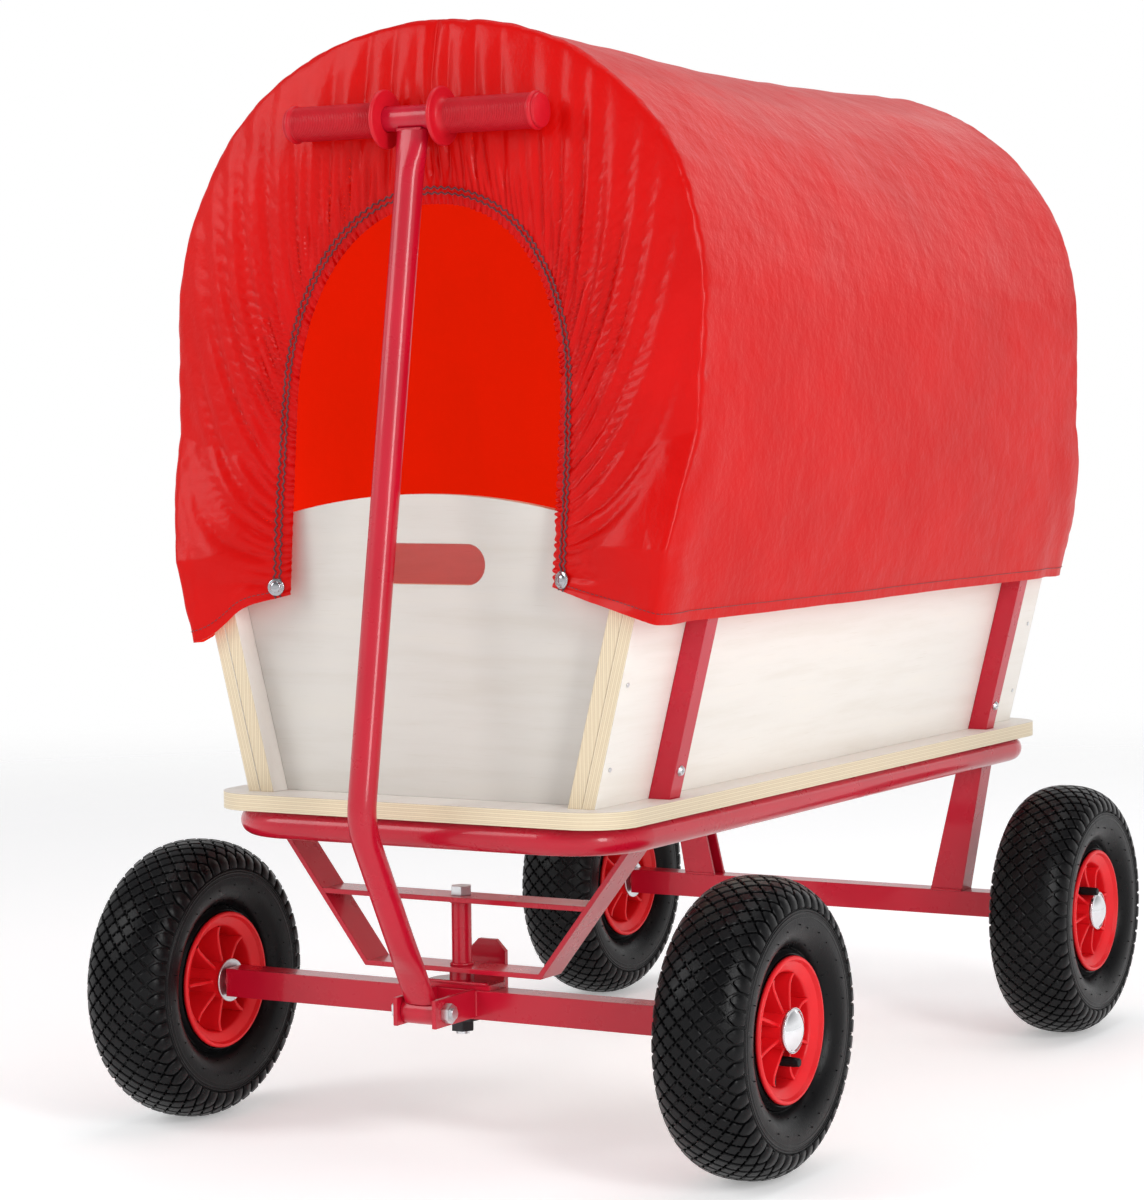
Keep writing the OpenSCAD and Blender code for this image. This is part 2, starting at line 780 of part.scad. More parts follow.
function tyre_arc(half_w, crown, mid, foot_h, from, to, steps) = [
  for (i = [0 : steps])
    let (a = from + (to - from) * i / steps, c = cos(a), s = sin(a))
    [half_w * sign(c) * pow(abs(c), 2 / 2.4),
     mid + (s > 0 ? crown - mid : foot_h) * sign(s) * pow(abs(s), 2 / 2.4)]
];

// A half section from crown to crown, closed by its mirror image, as [radius, place] points
function both_sides(half) = concat(
  [for (p = half) [p[1], p[0]]],
  [for (i = [len(half) - 2 : -1 : 1]) [half[i][1], -half[i][0]]]
);

TYRE_MID = 94;
TYRE_WALL = 6;

// Open section of the tyre, with its two beads against the rim
module tyre_section() {
  foot = [[31.2, 64], [30, 60], [27.9, 56.6], [24.4, bead_r], [20.5, bead_r], [21.5, 59]];
  outer = tyre_arc(tyre_half_w, tyre_r, TYRE_MID, 28, -58, 90, 16);
  inner = tyre_arc(tyre_half_w - TYRE_WALL, tyre_r - TYRE_WALL - 1, TYRE_MID, 26, 90, -50, 12);
  half = concat(inner, [foot[5], foot[4], foot[3], foot[2], foot[1], foot[0]], outer);
  polygon(both_sides(half));
}

module tyre() {
  color(BLACK) rotate([0, 90, 0]) rotate_extrude($fn = 96) tyre_section();
}

// Inflated tube inside the tyre, with a valve stem that turns outwards beside the hub
module inner_tube() {
  gap = 1;
  wall = 1.5;
  half_w = tyre_half_w - TYRE_WALL - gap;
  crown = tyre_r - TYRE_WALL - 1 - gap;
  outer = tyre_arc(half_w, crown, TYRE_MID, 25, 90, -90, 24);
  inner = tyre_arc(half_w - wall, crown - wall, TYRE_MID, 25 - wall, 90, -90, 24);
  color(BLACK) {
    rotate([0, 90, 0]) rotate_extrude($fn = 96) difference() {
      polygon(both_sides(outer));
      polygon(both_sides(inner));
    }
    translate([valve_x, 0, valve_orbit])
      cylinder(h = TYRE_MID - 20.5 - valve_orbit, r = valve_r, $fn = FINE);
    translate([valve_x, 0, valve_orbit]) sphere(r = valve_r, $fn = FINE);
    translate([0, 0, valve_orbit]) bar_x(valve_x, valve_end, valve_r - 1, FINE);
    translate([0, 0, valve_orbit]) bar_x(valve_x, valve_x + 8, valve_r, FINE);
  }
}

module valve_cap() {
  color(BLACK) translate([0, 0, valve_orbit]) difference() {
    bar_x(valve_x + 9, valve_end + 7, valve_r + 0.3, FINE);
    bar_x(valve_x + 8, valve_end + 0.3, valve_r - 1 + PIN_GAP, FINE);
  }
}

// Moulded rim: hub, disc, eight ribs and a barrel with rolled flanges
module rim() {
  lip = [[0, barrel_in_r], [24, barrel_in_r], [29, 50.5], [32, 54], [34.5, 60],
         [rim_flange_x, rim_r], [32, rim_r], [30.5, 60], [28.5, 56.5], [25, 53],
         [0, barrel_out_r]];
  color(RIM_RED) difference() {
    rotate([0, 90, 0]) union() {
      rotate_extrude($fn = 96) {
        polygon(both_sides(lip));
        translate([0, hub_in]) square([hub_r, hub_out - hub_in]);
        translate([0, -2]) square([barrel_in_r + 1, 4]);
      }
      for (k = [0 : rib_count - 1])
        rotate([0, 0, 360 * (k + 0.5) / rib_count])
          translate([hub_r - 1, -1.5, -26]) cube([barrel_in_r - hub_r + 2, 3, 52]);
    }
    bar_x(hub_in - THROUGH, hub_out + THROUGH, stub_r + PIN_GAP);
    translate([valve_x, 0, barrel_in_r - 4]) cylinder(h = 12, r = valve_r + 0.2, $fn = FINE);
  }
}

// Places a wheel piece: sx -1 left or 1 right, turned about its axle
module at_wheel(sx, y, track, turn) {
  translate([sx * track, y, axle_z]) mirror([sx < 0 ? 1 : 0, 0, 0]) rotate([turn, 0, 0])
    children();
}

// ---- origin ----

// The origin lies under the middle of the whole length, from the handle's bend to the rear tyres
foremost_y = -558.93;
origin_y = (foremost_y + rear_axle_y + tyre_r) / 2;

module placed() { translate([0, -origin_y, 0]) children(); }

module at_front_left() { at_wheel(-1, front_axle_y, front_track, 22.5) children(); }
module at_front_right() { at_wheel(1, front_axle_y, front_track, 180) children(); }
module at_rear_left() { at_wheel(-1, rear_axle_y, rear_track, 120) children(); }
module at_rear_right() { at_wheel(1, rear_axle_y, rear_track, 35) children(); }

placed() bed_frame();
placed() deck();
placed() side_panel(-1);  // side_panel_left
placed() side_panel(1);  // side_panel_right
placed() end_panel(-1);  // front_panel
placed() end_panel(1);  // rear_panel
placed() cleats(-1);  // front_cleats
placed() cleats(1);  // rear_cleats
placed() cleat_nails();
placed() stake(-1, -1);  // stake_front_left
placed() stake(1, -1);  // stake_front_right
placed() stake(-1, 1);  // stake_rear_left
placed() stake(1, 1);  // stake_rear_right
placed() stake_screws();
placed() hoop(-1);  // hoop_front
placed() hoop(1);  // hoop_rear
placed() canopy_cover();
placed() canopy_face(-1);  // canopy_front
placed() canopy_face(1);  // canopy_rear
placed() canopy_snaps();
placed() bracket_strap();
placed() bracket_crossbar();
placed() kingpin_tube();
placed() rear_axle();
placed() rear_leg(-1);  // rear_leg_left
placed() rear_leg(1);  // rear_leg_right
placed() hub_caps(rear_axle_y, rear_track);  // rear_hub_caps
placed() washers(rear_axle_y, rear_track);  // rear_washers
placed() front_axle();
placed() steering_plate();
placed() clevis_plates();
placed() kingpin_bolt();
placed() kingpin_nut();
placed() clevis_bolt();
placed() hub_caps(front_axle_y, front_track);  // front_hub_caps
placed() washers(front_axle_y, front_track);  // front_washers
placed() drawbar();
placed() drawbar_bush();
placed() cross_tube();
placed() grip(-1);  // grip_left
placed() grip(1);  // grip_right
placed() at_front_left() tyre();  // tyre_front_left
placed() at_front_right() tyre();  // tyre_front_right
placed() at_rear_left() tyre();  // tyre_rear_left
placed() at_rear_right() tyre();  // tyre_rear_right
placed() at_front_left() rim();  // rim_front_left
placed() at_front_right() rim();  // rim_front_right
placed() at_rear_left() rim();  // rim_rear_left
placed() at_rear_right() rim();  // rim_rear_right
placed() at_front_left() inner_tube();  // inner_tube_front_left
placed() at_front_right() inner_tube();  // inner_tube_front_right
placed() at_rear_left() inner_tube();  // inner_tube_rear_left
placed() at_rear_right() inner_tube();  // inner_tube_rear_right
placed() at_front_left() valve_cap();  // valve_cap_front_left
placed() at_front_right() valve_cap();  // valve_cap_front_right
placed() at_rear_left() valve_cap();  // valve_cap_rear_left
placed() at_rear_right() valve_cap();  // valve_cap_rear_right
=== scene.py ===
"""Looks of a play wagon with a pull handle: wheels, cover, box, steel frame, light and camera."""

import math

import bpy
import numpy as np
from mathutils import Matrix, Vector


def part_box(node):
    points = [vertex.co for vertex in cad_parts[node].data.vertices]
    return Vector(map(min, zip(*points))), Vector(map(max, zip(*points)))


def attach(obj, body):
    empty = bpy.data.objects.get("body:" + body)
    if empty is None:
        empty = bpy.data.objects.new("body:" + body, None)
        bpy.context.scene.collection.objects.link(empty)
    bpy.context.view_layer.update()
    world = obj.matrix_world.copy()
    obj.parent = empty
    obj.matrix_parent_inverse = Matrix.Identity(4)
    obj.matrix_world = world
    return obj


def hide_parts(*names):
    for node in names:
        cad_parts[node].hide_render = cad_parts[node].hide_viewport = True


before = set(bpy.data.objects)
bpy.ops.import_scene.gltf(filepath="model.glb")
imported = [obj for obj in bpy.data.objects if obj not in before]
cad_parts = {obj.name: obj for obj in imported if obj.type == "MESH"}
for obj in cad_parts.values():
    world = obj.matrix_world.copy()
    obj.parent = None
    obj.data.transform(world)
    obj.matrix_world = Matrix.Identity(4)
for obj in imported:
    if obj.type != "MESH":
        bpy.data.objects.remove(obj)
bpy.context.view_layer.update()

MM = 0.001
SIDES = (-1, 1)
WHEELS = ("front_left", "front_right", "rear_left", "rear_right")


# ---- numbers taken from the frame ----

def centre(node):
    low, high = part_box(node)
    return (low + high) / 2


def half_size(node):
    low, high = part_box(node)
    return (high - low) / 2


MIDDLE_Y = centre("deck").y


# ---- meshes ----

def link(mesh, name, materials):
    piece = bpy.data.objects.new(name, mesh)
    bpy.context.scene.collection.objects.link(piece)
    for m in materials:
        mesh.materials.append(m)
    return piece


def mesh_from(name, points, faces, sharp=35, slots=None):
    mesh = bpy.data.meshes.new(name)
    mesh.from_pydata([tuple(p) for p in points], [], [tuple(f) for f in faces])
    mesh.validate()
    mesh.polygons.foreach_set("use_smooth", np.ones(len(mesh.polygons), bool))
    if slots is not None and len(slots) == len(mesh.polygons):
        mesh.polygons.foreach_set("material_index", np.array(slots, np.int32))
    mesh.set_sharp_from_angle(angle=math.radians(sharp))
    mesh.update()
    return mesh


class Shape:
    """Points and faces gathered from several forms, with a material index a face."""

    def __init__(self):
        self.points = []
        self.faces = []
        self.slots = []

    def add(self, points, faces):
        base = len(self.points)
        self.points.extend([tuple(p) for p in points])
        self.faces.extend([tuple(base + i for i in f) for f in faces])
        self.slots.extend([0] * len(faces))

    def mesh(self, name, sharp):
        return mesh_from(name, self.points, self.faces, sharp, self.slots)

    def piece(self, name, materials, sharp):
        return link(self.mesh(name, sharp), name, materials)


def grid_faces(rows, cols, wrap_rows=False, wrap_cols=False, flip=False):
    faces = []
    for i in range(rows if wrap_rows else rows - 1):
        for j in range(cols if wrap_cols else cols - 1):
            i2, j2 = (i + 1) % rows, (j + 1) % cols
            f = (i * cols + j, i2 * cols + j, i2 * cols + j2, i * cols + j2)
            faces.append(f[::-1] if flip else f)
    return faces


def revolve(profile, steps=96, closed=False):
    """Points and faces of a profile of (x, radius) turned about the X axis."""
    points = []
    for k in range(steps):
        a = 2 * math.pi * k / steps
        points += [(x, -r * math.sin(a), r * math.cos(a)) for x, r in profile]
    faces = grid_faces(steps, len(profile), wrap_rows=True, wrap_cols=closed)
    return points, faces


def tube(line, radius, sides):
    """Points and faces of a round tube along a line, with one radius or one a point."""
    line = [Vector(p) for p in line]
    n = len(line)
    radii = radius if hasattr(radius, "__len__") else [radius] * n
    points = []
    up = None
    for i in range(n):
        d = (line[min(i + 1, n - 1)] - line[max(i - 1, 0)]).normalized()
        if up is None:
            up = d.orthogonal().normalized()
        up = (up - up.dot(d) * d).normalized()
        side = d.cross(up)
        for k in range(sides):
            a = 2 * math.pi * k / sides
            points.append(line[i] + radii[i] * (math.cos(a) * up + math.sin(a) * side))
    faces = grid_faces(n, sides, wrap_cols=True, flip=True)
    faces.append(tuple(range(sides)))
    faces.append(tuple((n - 1) * sides + k for k in reversed(range(sides))))
    return points, faces


def arc(cx, cr, radius, start, end, steps):
    """Points of a rounded corner of a profile, by angles in degrees."""
    out = []
    for i in range(steps + 1):
        a = math.radians(start + (end - start) * i / steps)
        out.append((cx + radius * math.cos(a), cr + radius * math.sin(a)))
    return out


def scaled(points):
    return [tuple(c * MM for c in p) for p in points]


def turned(name, profile, steps, sharp):
    """Mesh of a profile in millimetres turned about the X axis."""
    points, faces = revolve(profile, steps)
    shape = Shape()
    shape.add(scaled(points), faces)
    return shape.mesh(name, sharp)


def distances(line):
    """Distance along a line to each of its points."""
    return np.concatenate([[0], np.cumsum(np.linalg.norm(np.diff(line, axis=0), axis=1))])


def resample(line, count):
    """The line again with count points at equal steps along its length."""
    line = np.asarray(line, float)
    run = distances(line)
    at = np.linspace(0, run[-1], count)
    return np.stack([np.interp(at, run, line[:, k]) for k in range(line.shape[1])], axis=1)


def wave_noise(seed, size=4096):
    """A smooth random function of one number, from -1 to 1."""
    table = np.random.default_rng(seed).uniform(-1, 1, size)

    def value(x):
        x = np.asarray(x, float)
        i = np.floor(x).astype(int)
        f = x - i
        f = f * f * (3 - 2 * f)
        return table[i % size] * (1 - f) + table[(i + 1) % size] * f

    return value


def patch_noise(seed, size=256):
    """A smooth random function of two numbers, from -1 to 1."""
    table = np.random.default_rng(seed).uniform(-1, 1, (size, size))

    def value(x, y):
        i, j = np.floor(x).astype(int), np.floor(y).astype(int)
        f, g = x - i, y - j
        f, g = f * f * (3 - 2 * f), g * g * (3 - 2 * g)
        a = table[i % size, j % size] * (1 - f) + table[(i + 1) % size, j % size] * f
        b = table[i % size, (j + 1) % size] * (1 - f) + table[(i + 1) % size, (j + 1) % size] * f
        return a * (1 - g) + b * g

    return value


def ease(x, low, high):
    """0 below low and 1 above high, smooth between."""
    f = np.clip((np.asarray(x, float) - low) / (high - low), 0, 1)
    return f * f * (3 - 2 * f)


# ---- shader nodes ----

def add(tree, kind, settings=None, **inputs):
    """A new node; an input is a number, a colour or another node's output."""
    n = tree.nodes.new(kind)
    for key, value in (settings or {}).items():
        setattr(n, key, value)
    for key, value in inputs.items():
        numbered = key[0] == "i" and key[1:].isdigit()
        socket = n.inputs[int(key[1:]) if numbered else key.replace("_", " ")]
        if isinstance(value, bpy.types.NodeSocket):
            tree.links.new(value, socket)
        else:
            socket.default_value = value
    return n


def calc(tree, operation, a, b=0.0, c=0.0):
    return add(tree, "ShaderNodeMath", {"operation": operation}, i0=a, i1=b, i2=c).outputs[0]


def dot(tree, a, b):
    return add(tree, "ShaderNodeVectorMath", {"operation": "DOT_PRODUCT"}, i0=a, i1=b).outputs["Value"]


def coords(tree):
    return add(tree, "ShaderNodeTexCoord").outputs["Object"]


def stretched(tree, vector, scale):
    return add(tree, "ShaderNodeMapping", Vector=vector, Scale=scale).outputs[0]


def noise(tree, vector, scale, detail=3.0, rough=0.5):
    n = add(tree, "ShaderNodeTexNoise", Vector=vector, Scale=scale, Detail=detail, Roughness=rough)
    return n.outputs["Fac"]


def ramp(tree, value, stops):
    n = add(tree, "ShaderNodeValToRGB", Fac=value)
    ends = n.color_ramp.elements
    while len(ends) < len(stops):
        ends.new(0.5)
    for e, (place, colour) in zip(ends, stops):
        e.position = place
        e.color = (*colour, 1)
    return n.outputs["Color"]


def ramp_value(tree, value, low, high):
    """0 below low and 1 above high, smooth between."""
    smooth = {"interpolation_type": "SMOOTHSTEP"}
    n = add(tree, "ShaderNodeMapRange", smooth, Value=value, From_Min=low, From_Max=high)
    return n.outputs[0]


def blend_colour(tree, amount, a, b, kind="MIX"):
    n = tree.nodes.new("ShaderNodeMix")
    n.data_type = "RGBA"
    n.blend_type = kind
    for socket, value in ((n.inputs[0], amount), (n.inputs[6], a), (n.inputs[7], b)):
        if isinstance(value, bpy.types.NodeSocket):
            tree.links.new(value, socket)
        else:
            socket.default_value = (*value, 1) if hasattr(value, "__len__") else value
    return n.outputs[2]


def bumped(tree, height, strength, distance, normal=None):
    n = add(tree, "ShaderNodeBump", Strength=strength, Distance=distance, Height=height)
    if normal is not None:
        tree.links.new(normal, n.inputs["Normal"])
    return n.outputs[0]


def soft_edges(tree, radius):
    return add(tree, "ShaderNodeBevel", {"samples": 4}, Radius=radius).outputs[0]


def shader(name, **sockets):
    """A material with one Principled shader. Returns the material, its tree and the shader."""
    m = bpy.data.materials.new(name)
    m.use_nodes = True
    tree = m.node_tree
    p = tree.nodes["Principled BSDF"]
    for key, value in sockets.items():
        p.inputs[key.replace("_", " ")].default_value = value
    return m, tree, p


def set_input(tree, node, key, value):
    if isinstance(value, bpy.types.NodeSocket):
        tree.links.new(value, node.inputs[key])
    else:
        node.inputs[key].default_value = value


def roughen(tree, p, value, gain, base):
    set_input(tree, p, "Roughness", calc(tree, "MULTIPLY_ADD", value, gain, base))


# ---- materials ----

CRIMSON = (0.52, 0.004, 0.024)
CRIMSON_DEEP = (0.43, 0.003, 0.018)
RIM_RED = (0.78, 0.010, 0.016)
GRIP_RED = (0.60, 0.006, 0.018)
CLOTH_RED = (0.60, 0.005, 0.004)
CLOTH_DEEP = (0.52, 0.004, 0.003)
CLOTH_GLOW = (0.9, 0.018, 0.004)
THREAD_RED = (0.055, 0.002, 0.008)
PLY_FACE = (0.80, 0.768, 0.72)
PLY_FACE_DARK = (0.755, 0.715, 0.655)
PLY_FACE_PALE = (0.83, 0.79, 0.72)
PLY_PORE = (0.52, 0.43, 0.30)
PLY_CLOUD = (0.86, 0.81, 0.72)
PLY_EDGE = (0.72, 0.61, 0.43)
PLY_EDGE_DARK = (0.60, 0.47, 0.30)
PLY_FIBRE = (0.80, 0.70, 0.52)
PLY_LINE = (0.30, 0.19, 0.10)
RUBBER = (0.0025, 0.0025, 0.003)


def powder_coat():
    m, tree, p = shader("crimson_powder_coat", Coat_Weight=0.3, Coat_Roughness=0.05, Specular_IOR_Level=0.3)
    at = coords(tree)
    tone = noise(tree, at, 9.0, 4.0)
    colour = ramp(tree, tone, [(0.3, CRIMSON_DEEP), (0.7, CRIMSON)])
    edge = soft_edges(tree, 0.0016)
    flat = add(tree, "ShaderNodeNewGeometry").outputs["Normal"]
    bend = dot(tree, edge, flat)
    # painted highlight: the colour is lightened to a bright red along rounded edges, where the bevelled
    # normal turns away from the face's own
    edge_highlight = calc(tree, "MULTIPLY", calc(tree, "SUBTRACT", 1.0, bend), 1.4)
    colour = blend_colour(tree, calc(tree, "MINIMUM", edge_highlight, 0.12), colour, (0.75, 0.03, 0.06))
    set_input(tree, p, "Base Color", colour)
    roughen(tree, p, noise(tree, at, 35.0, 5.0, 0.6), 0.18, 0.20)
    peel = noise(tree, at, 420.0, 2.0)
    set_input(tree, p, "Normal", bumped(tree, peel, 0.12, 0.0004, edge))
    return m


def moulded_red(name, colour, deep, rough):
    m, tree, p = shader(name, Coat_Weight=0.12, Coat_Roughness=0.15, Specular_IOR_Level=0.25)
    at = coords(tree)
    tone = noise(tree, at, 22.0, 4.0)
    set_input(tree, p, "Base Color", ramp(tree, tone, [(0.3, deep), (0.7, colour)]))
    roughen(tree, p, noise(tree, at, 70.0, 4.0, 0.6), 0.2, rough)
    grain = noise(tree, at, 1400.0, 2.0)
    set_input(tree, p, "Normal", bumped(tree, grain, 0.15, 0.0002, soft_edges(tree, 0.0010)))
    p.inputs["Subsurface Weight"].default_value = 0.06
    p.inputs["Subsurface Radius"].default_value = (0.004, 0.0006, 0.0004)
    return m


def rubber(name, rough, dust):
    m, tree, p = shader(name, Specular_IOR_Level=0.15)
    at = coords(tree)
    tone = noise(tree, at, 16.0, 5.0, 0.6)
    grey = tuple(c + dust for c in RUBBER)
    set_input(tree, p, "Base Color", ramp(tree, tone, [(0.35, RUBBER), (0.75, grey)]))
    roughen(tree, p, noise(tree, at, 60.0, 5.0, 0.65), 0.3, rough)
    grain = noise(tree, at, 700.0, 3.0)
    lines = noise(tree, at, 190.0, 2.0)
    mixed = calc(tree, "MULTIPLY_ADD", lines, 0.6, grain)
    set_input(tree, p, "Normal", bumped(tree, mixed, 0.35, 0.0005))
    return m


def metal(name, colour, rough, scratch):
    m, tree, p = shader(name, Metallic=1.0)
    at = coords(tree)
    tone = noise(tree, at, 60.0, 4.0)
    dark = tuple(0.82 * c for c in colour)
    set_input(tree, p, "Base Color", ramp(tree, tone, [(0.25, dark), (0.7, colour)]))
    smear = noise(tree, stretched(tree, at, (1, 7, 7)), 160.0, 4.0, 0.6)
    roughen(tree, p, smear, scratch, rough)
    grain = noise(tree, at, 900.0, 2.0)
    set_input(tree, p, "Normal", bumped(tree, grain, 0.06, 0.0002, soft_edges(tree, 0.0006)))
    return m


def black_steel():
    m, tree, p = shader("black_steel", Metallic=0.6, Specular_IOR_Level=0.6)
    at = coords(tree)
    tone = noise(tree, at, 90.0, 4.0)
    stops = [(0.3, (0.018, 0.018, 0.02)), (0.8, (0.05, 0.05, 0.055))]
    set_input(tree, p, "Base Color", ramp(tree, tone, stops))
    roughen(tree, p, noise(tree, at, 240.0), 0.3, 0.25)
    set_input(tree, p, "Normal", soft_edges(tree, 0.0008))
    return m


def along_grain(tree, run, cross, depth, pull):
    """Coordinates drawn out along the grain, where they change by only pull of the distance."""
    slow = calc(tree, "MULTIPLY", run, pull)
    return add(tree, "ShaderNodeCombineXYZ", X=slow, Y=cross, Z=depth).outputs[0]


def ply_face(tree, at, figure, pores, painted_shade):
    """Colour of a sheet's faces, multiplied by the last argument, a painted shade that makes the sheet look
    less lit.
    """
    face = ramp(tree, figure, [(0.34, PLY_FACE_DARK), (0.52, PLY_FACE), (0.8, PLY_FACE_PALE)])
    spots = calc(tree, "MULTIPLY", ramp_value(tree, pores, 0.60, 0.78), 0.22)
    face = blend_colour(tree, spots, face, PLY_PORE)
    cloud = calc(tree, "MULTIPLY", noise(tree, at, 3.2, 3.0), 0.18)
    face = blend_colour(tree, cloud, face, PLY_CLOUD)
    # painted shade: the face colour is multiplied down so the sheet looks less lit
    return blend_colour(tree, 1.0, face, (painted_shade, painted_shade, painted_shade), "MULTIPLY")


def ply_edge(tree, at, place, layers):
    """Colour of a sheet's edges, and the dark lines between its layers. place runs from 0 to 1
    through the sheet."""
    ripple = calc(tree, "MULTIPLY_ADD", noise(tree, at, 30.0, 3.0), 0.16, -0.08)
    layer = calc(tree, "ADD", calc(tree, "MULTIPLY", place, float(layers)), ripple)
    near = calc(tree, "ABSOLUTE", calc(tree, "SUBTRACT", calc(tree, "FRACT", layer), 0.5))
    line = ramp_value(tree, near, 0.40, 0.49)
    turn = calc(tree, "FRACT", calc(tree, "MULTIPLY", calc(tree, "FLOOR", layer), 0.5))
    tone = blend_colour(tree, calc(tree, "MULTIPLY", turn, 1.1), PLY_EDGE, PLY_EDGE_DARK)
    fibres = calc(tree, "MULTIPLY", noise(tree, at, 480.0, 3.0, 0.7), 0.45)
    tone = blend_colour(tree, fibres, tone, PLY_FIBRE)
    return blend_colour(tree, calc(tree, "MULTIPLY", line, 0.75), tone, PLY_LINE), line


def plywood(name, across, start, thickness, along, layers=7, painted_shade=1.0):
    """Birch plywood. across is the direction through its layers, start the place of its first face
    along that direction, in metres, along the direction of the grain on its faces, and the last
    argument a factor for its face colour: a painted shade that makes a panel look less lit."""
    m, tree, p = shader(name, Coat_Weight=0.12, Coat_Roughness=0.35)
    at = coords(tree)
    through = Vector(across).normalized()
    grain_dir = Vector(along).normalized()
    depth = dot(tree, at, tuple(through))
    run = dot(tree, at, tuple(grain_dir))
    cross = dot(tree, at, tuple(through.cross(grain_dir)))
    figure = noise(tree, along_grain(tree, run, cross, depth, 0.10), 42.0, 6.0, 0.62)
    pores = noise(tree, along_grain(tree, run, cross, depth, 0.035), 620.0, 3.0, 0.6)
    place = calc(tree, "DIVIDE", calc(tree, "SUBTRACT", depth, start), thickness)
    edge, line = ply_edge(tree, at, place, layers)
    normal = add(tree, "ShaderNodeNewGeometry").outputs["True Normal"]
    facing = dot(tree, normal, tuple(through))
    on_edge = calc(tree, "LESS_THAN", calc(tree, "ABSOLUTE", facing), 0.6)
    face = ply_face(tree, at, figure, pores, painted_shade)
    set_input(tree, p, "Base Color", blend_colour(tree, on_edge, face, edge))
    roughen(tree, p, figure, 0.22, 0.36)
    height = calc(tree, "ADD", calc(tree, "MULTIPLY", pores, 0.6), calc(tree, "MULTIPLY", line, -0.5))
    set_input(tree, p, "Normal", bumped(tree, height, 0.14, 0.0005, soft_edges(tree, 0.0014)))
    return m


def coated_cloth(name, glow, gloss):
    """Thin coated red cloth that lets some light through. glow is the strength of a painted glow,
    an emission that makes the cloth shine orange-red on its own, and gloss the weight of its coating."""
    m, tree, p = shader(name, Coat_Weight=gloss, Coat_Roughness=0.16, Specular_IOR_Level=0.8 * gloss)
    # painted glow: emission makes the cloth shine orange-red though it is no lamp
    p.inputs["Emission Color"].default_value = (1.0, 0.03, 0.002, 1)
    p.inputs["Emission Strength"].default_value = glow
    at = coords(tree)
    tone = noise(tree, at, 7.0, 5.0, 0.6)
    set_input(tree, p, "Base Color", ramp(tree, tone, [(0.3, CLOTH_DEEP), (0.65, CLOTH_RED)]))
    roughen(tree, p, noise(tree, at, 24.0, 5.0, 0.6), 0.18, 0.24)
    crumple = noise(tree, at, 26.0, 5.0, 0.62)
    drawn = noise(tree, stretched(tree, at, (1.0, 0.35, 1.0)), 60.0, 4.0, 0.6)
    weave_x = add(tree, "ShaderNodeTexWave", {"bands_direction": "Y"}, Vector=at, Scale=320.0).outputs["Fac"]
    weave_z = add(tree, "ShaderNodeTexWave", {"bands_direction": "Z"}, Vector=at, Scale=320.0).outputs["Fac"]
    weave = calc(tree, "MULTIPLY", weave_x, weave_z)
    soft = bumped(tree, crumple, 0.45, 0.006)
    soft = bumped(tree, drawn, 0.35, 0.002, soft)
    set_input(tree, p, "Normal", bumped(tree, weave, 0.10, 0.0002, soft))
    through = add(tree, "ShaderNodeBsdfTranslucent", Color=(*CLOTH_GLOW, 1))
    both = add(tree, "ShaderNodeMixShader", Fac=0.30)
    out = tree.nodes["Material Output"]
    tree.links.new(p.outputs[0], both.inputs[1])
    tree.links.new(through.outputs[0], both.inputs[2])
    tree.links.new(both.outputs[0], out.inputs["Surface"])
    return m


def thread():
    m, tree, p = shader("dark_red_thread", Sheen_Weight=0.3)
    at = coords(tree)
    twist = noise(tree, at, 900.0, 2.0)
    set_input(tree, p, "Base Color", ramp(tree, twist, [(0.3, THREAD_RED), (0.8, (0.12, 0.004, 0.014))]))
    roughen(tree, p, twist, 0.2, 0.55)
    set_input(tree, p, "Normal", bumped(tree, twist, 0.4, 0.0003))
    return m


FLOOR_R = 5
FLOOR_GLOW = 0.30
FLOOR_FADE = (1.7, 4.2)


def floor_paint():
    """Pale floor that glows a little and fades to nothing away from the wagon."""
    m, tree, p = shader("pale_floor", Specular_IOR_Level=0.2)
    at = coords(tree)
    stops = [(0.2, (0.90, 0.90, 0.90)), (0.8, (0.92, 0.92, 0.92))]
    set_input(tree, p, "Base Color", ramp(tree, noise(tree, at, 1.5, 2.0), stops))
    p.inputs["Roughness"].default_value = 0.65
    p.inputs["Emission Color"].default_value = (1, 1, 1, 1)
    p.inputs["Emission Strength"].default_value = FLOOR_GLOW
    away = add(tree, "ShaderNodeVectorMath", {"operation": "LENGTH"}, i0=at).outputs["Value"]
    set_input(tree, p, "Alpha", calc(tree, "SUBTRACT", 1.0, ramp_value(tree, away, *FLOOR_FADE)))
    return m


MAT = {
    "frame_red": powder_coat(),
    "rim_red": moulded_red("bright_red_plastic", RIM_RED, (0.66, 0.007, 0.012), 0.30),
    "grip_red": moulded_red("soft_red_grip", GRIP_RED, (0.50, 0.005, 0.014), 0.38),
    "cover_red": coated_cloth("coated_red_cloth", 0.0, 0.14),
    # the lining's emission of 0.48 is a painted glow, lighting the inside of the cover
    "lining_red_painted_glow": coated_cloth("cloth_lining_painted_glow", 0.48, 0.0),
    "thread": thread(),
    "tyre_black": rubber("tyre_rubber", 0.16, 0.003),
    "tube_black": rubber("valve_rubber", 0.28, 0.008),
    "chrome": metal("polished_chrome", (0.86, 0.87, 0.89), 0.05, 0.06),
    "zinc": metal("zinc_plate", (0.72, 0.73, 0.75), 0.20, 0.22),
    "black_steel": black_steel(),
    "snap_steel": metal("dark_snap_steel", (0.42, 0.42, 0.44), 0.08, 0.06),
}


def paint(node, material):
    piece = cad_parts[node]
    if not piece.material_slots:
        piece.data.materials.append(material)
    for s in piece.material_slots:
        s.material = material


def put(piece, body, slot, *nodes):
    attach(piece, body)
    if nodes:
        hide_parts(*nodes)
    return piece


# ---- wheels, drawn with the axle along X and the outside at +X, in millimetres ----

CROWN_R = 127.0
TREAD_H = 3.0
TYRE_MID = 94.0
BASE_HALF_W = 41.6
BLOCKS = 50
ROW_PITCH = 8.0


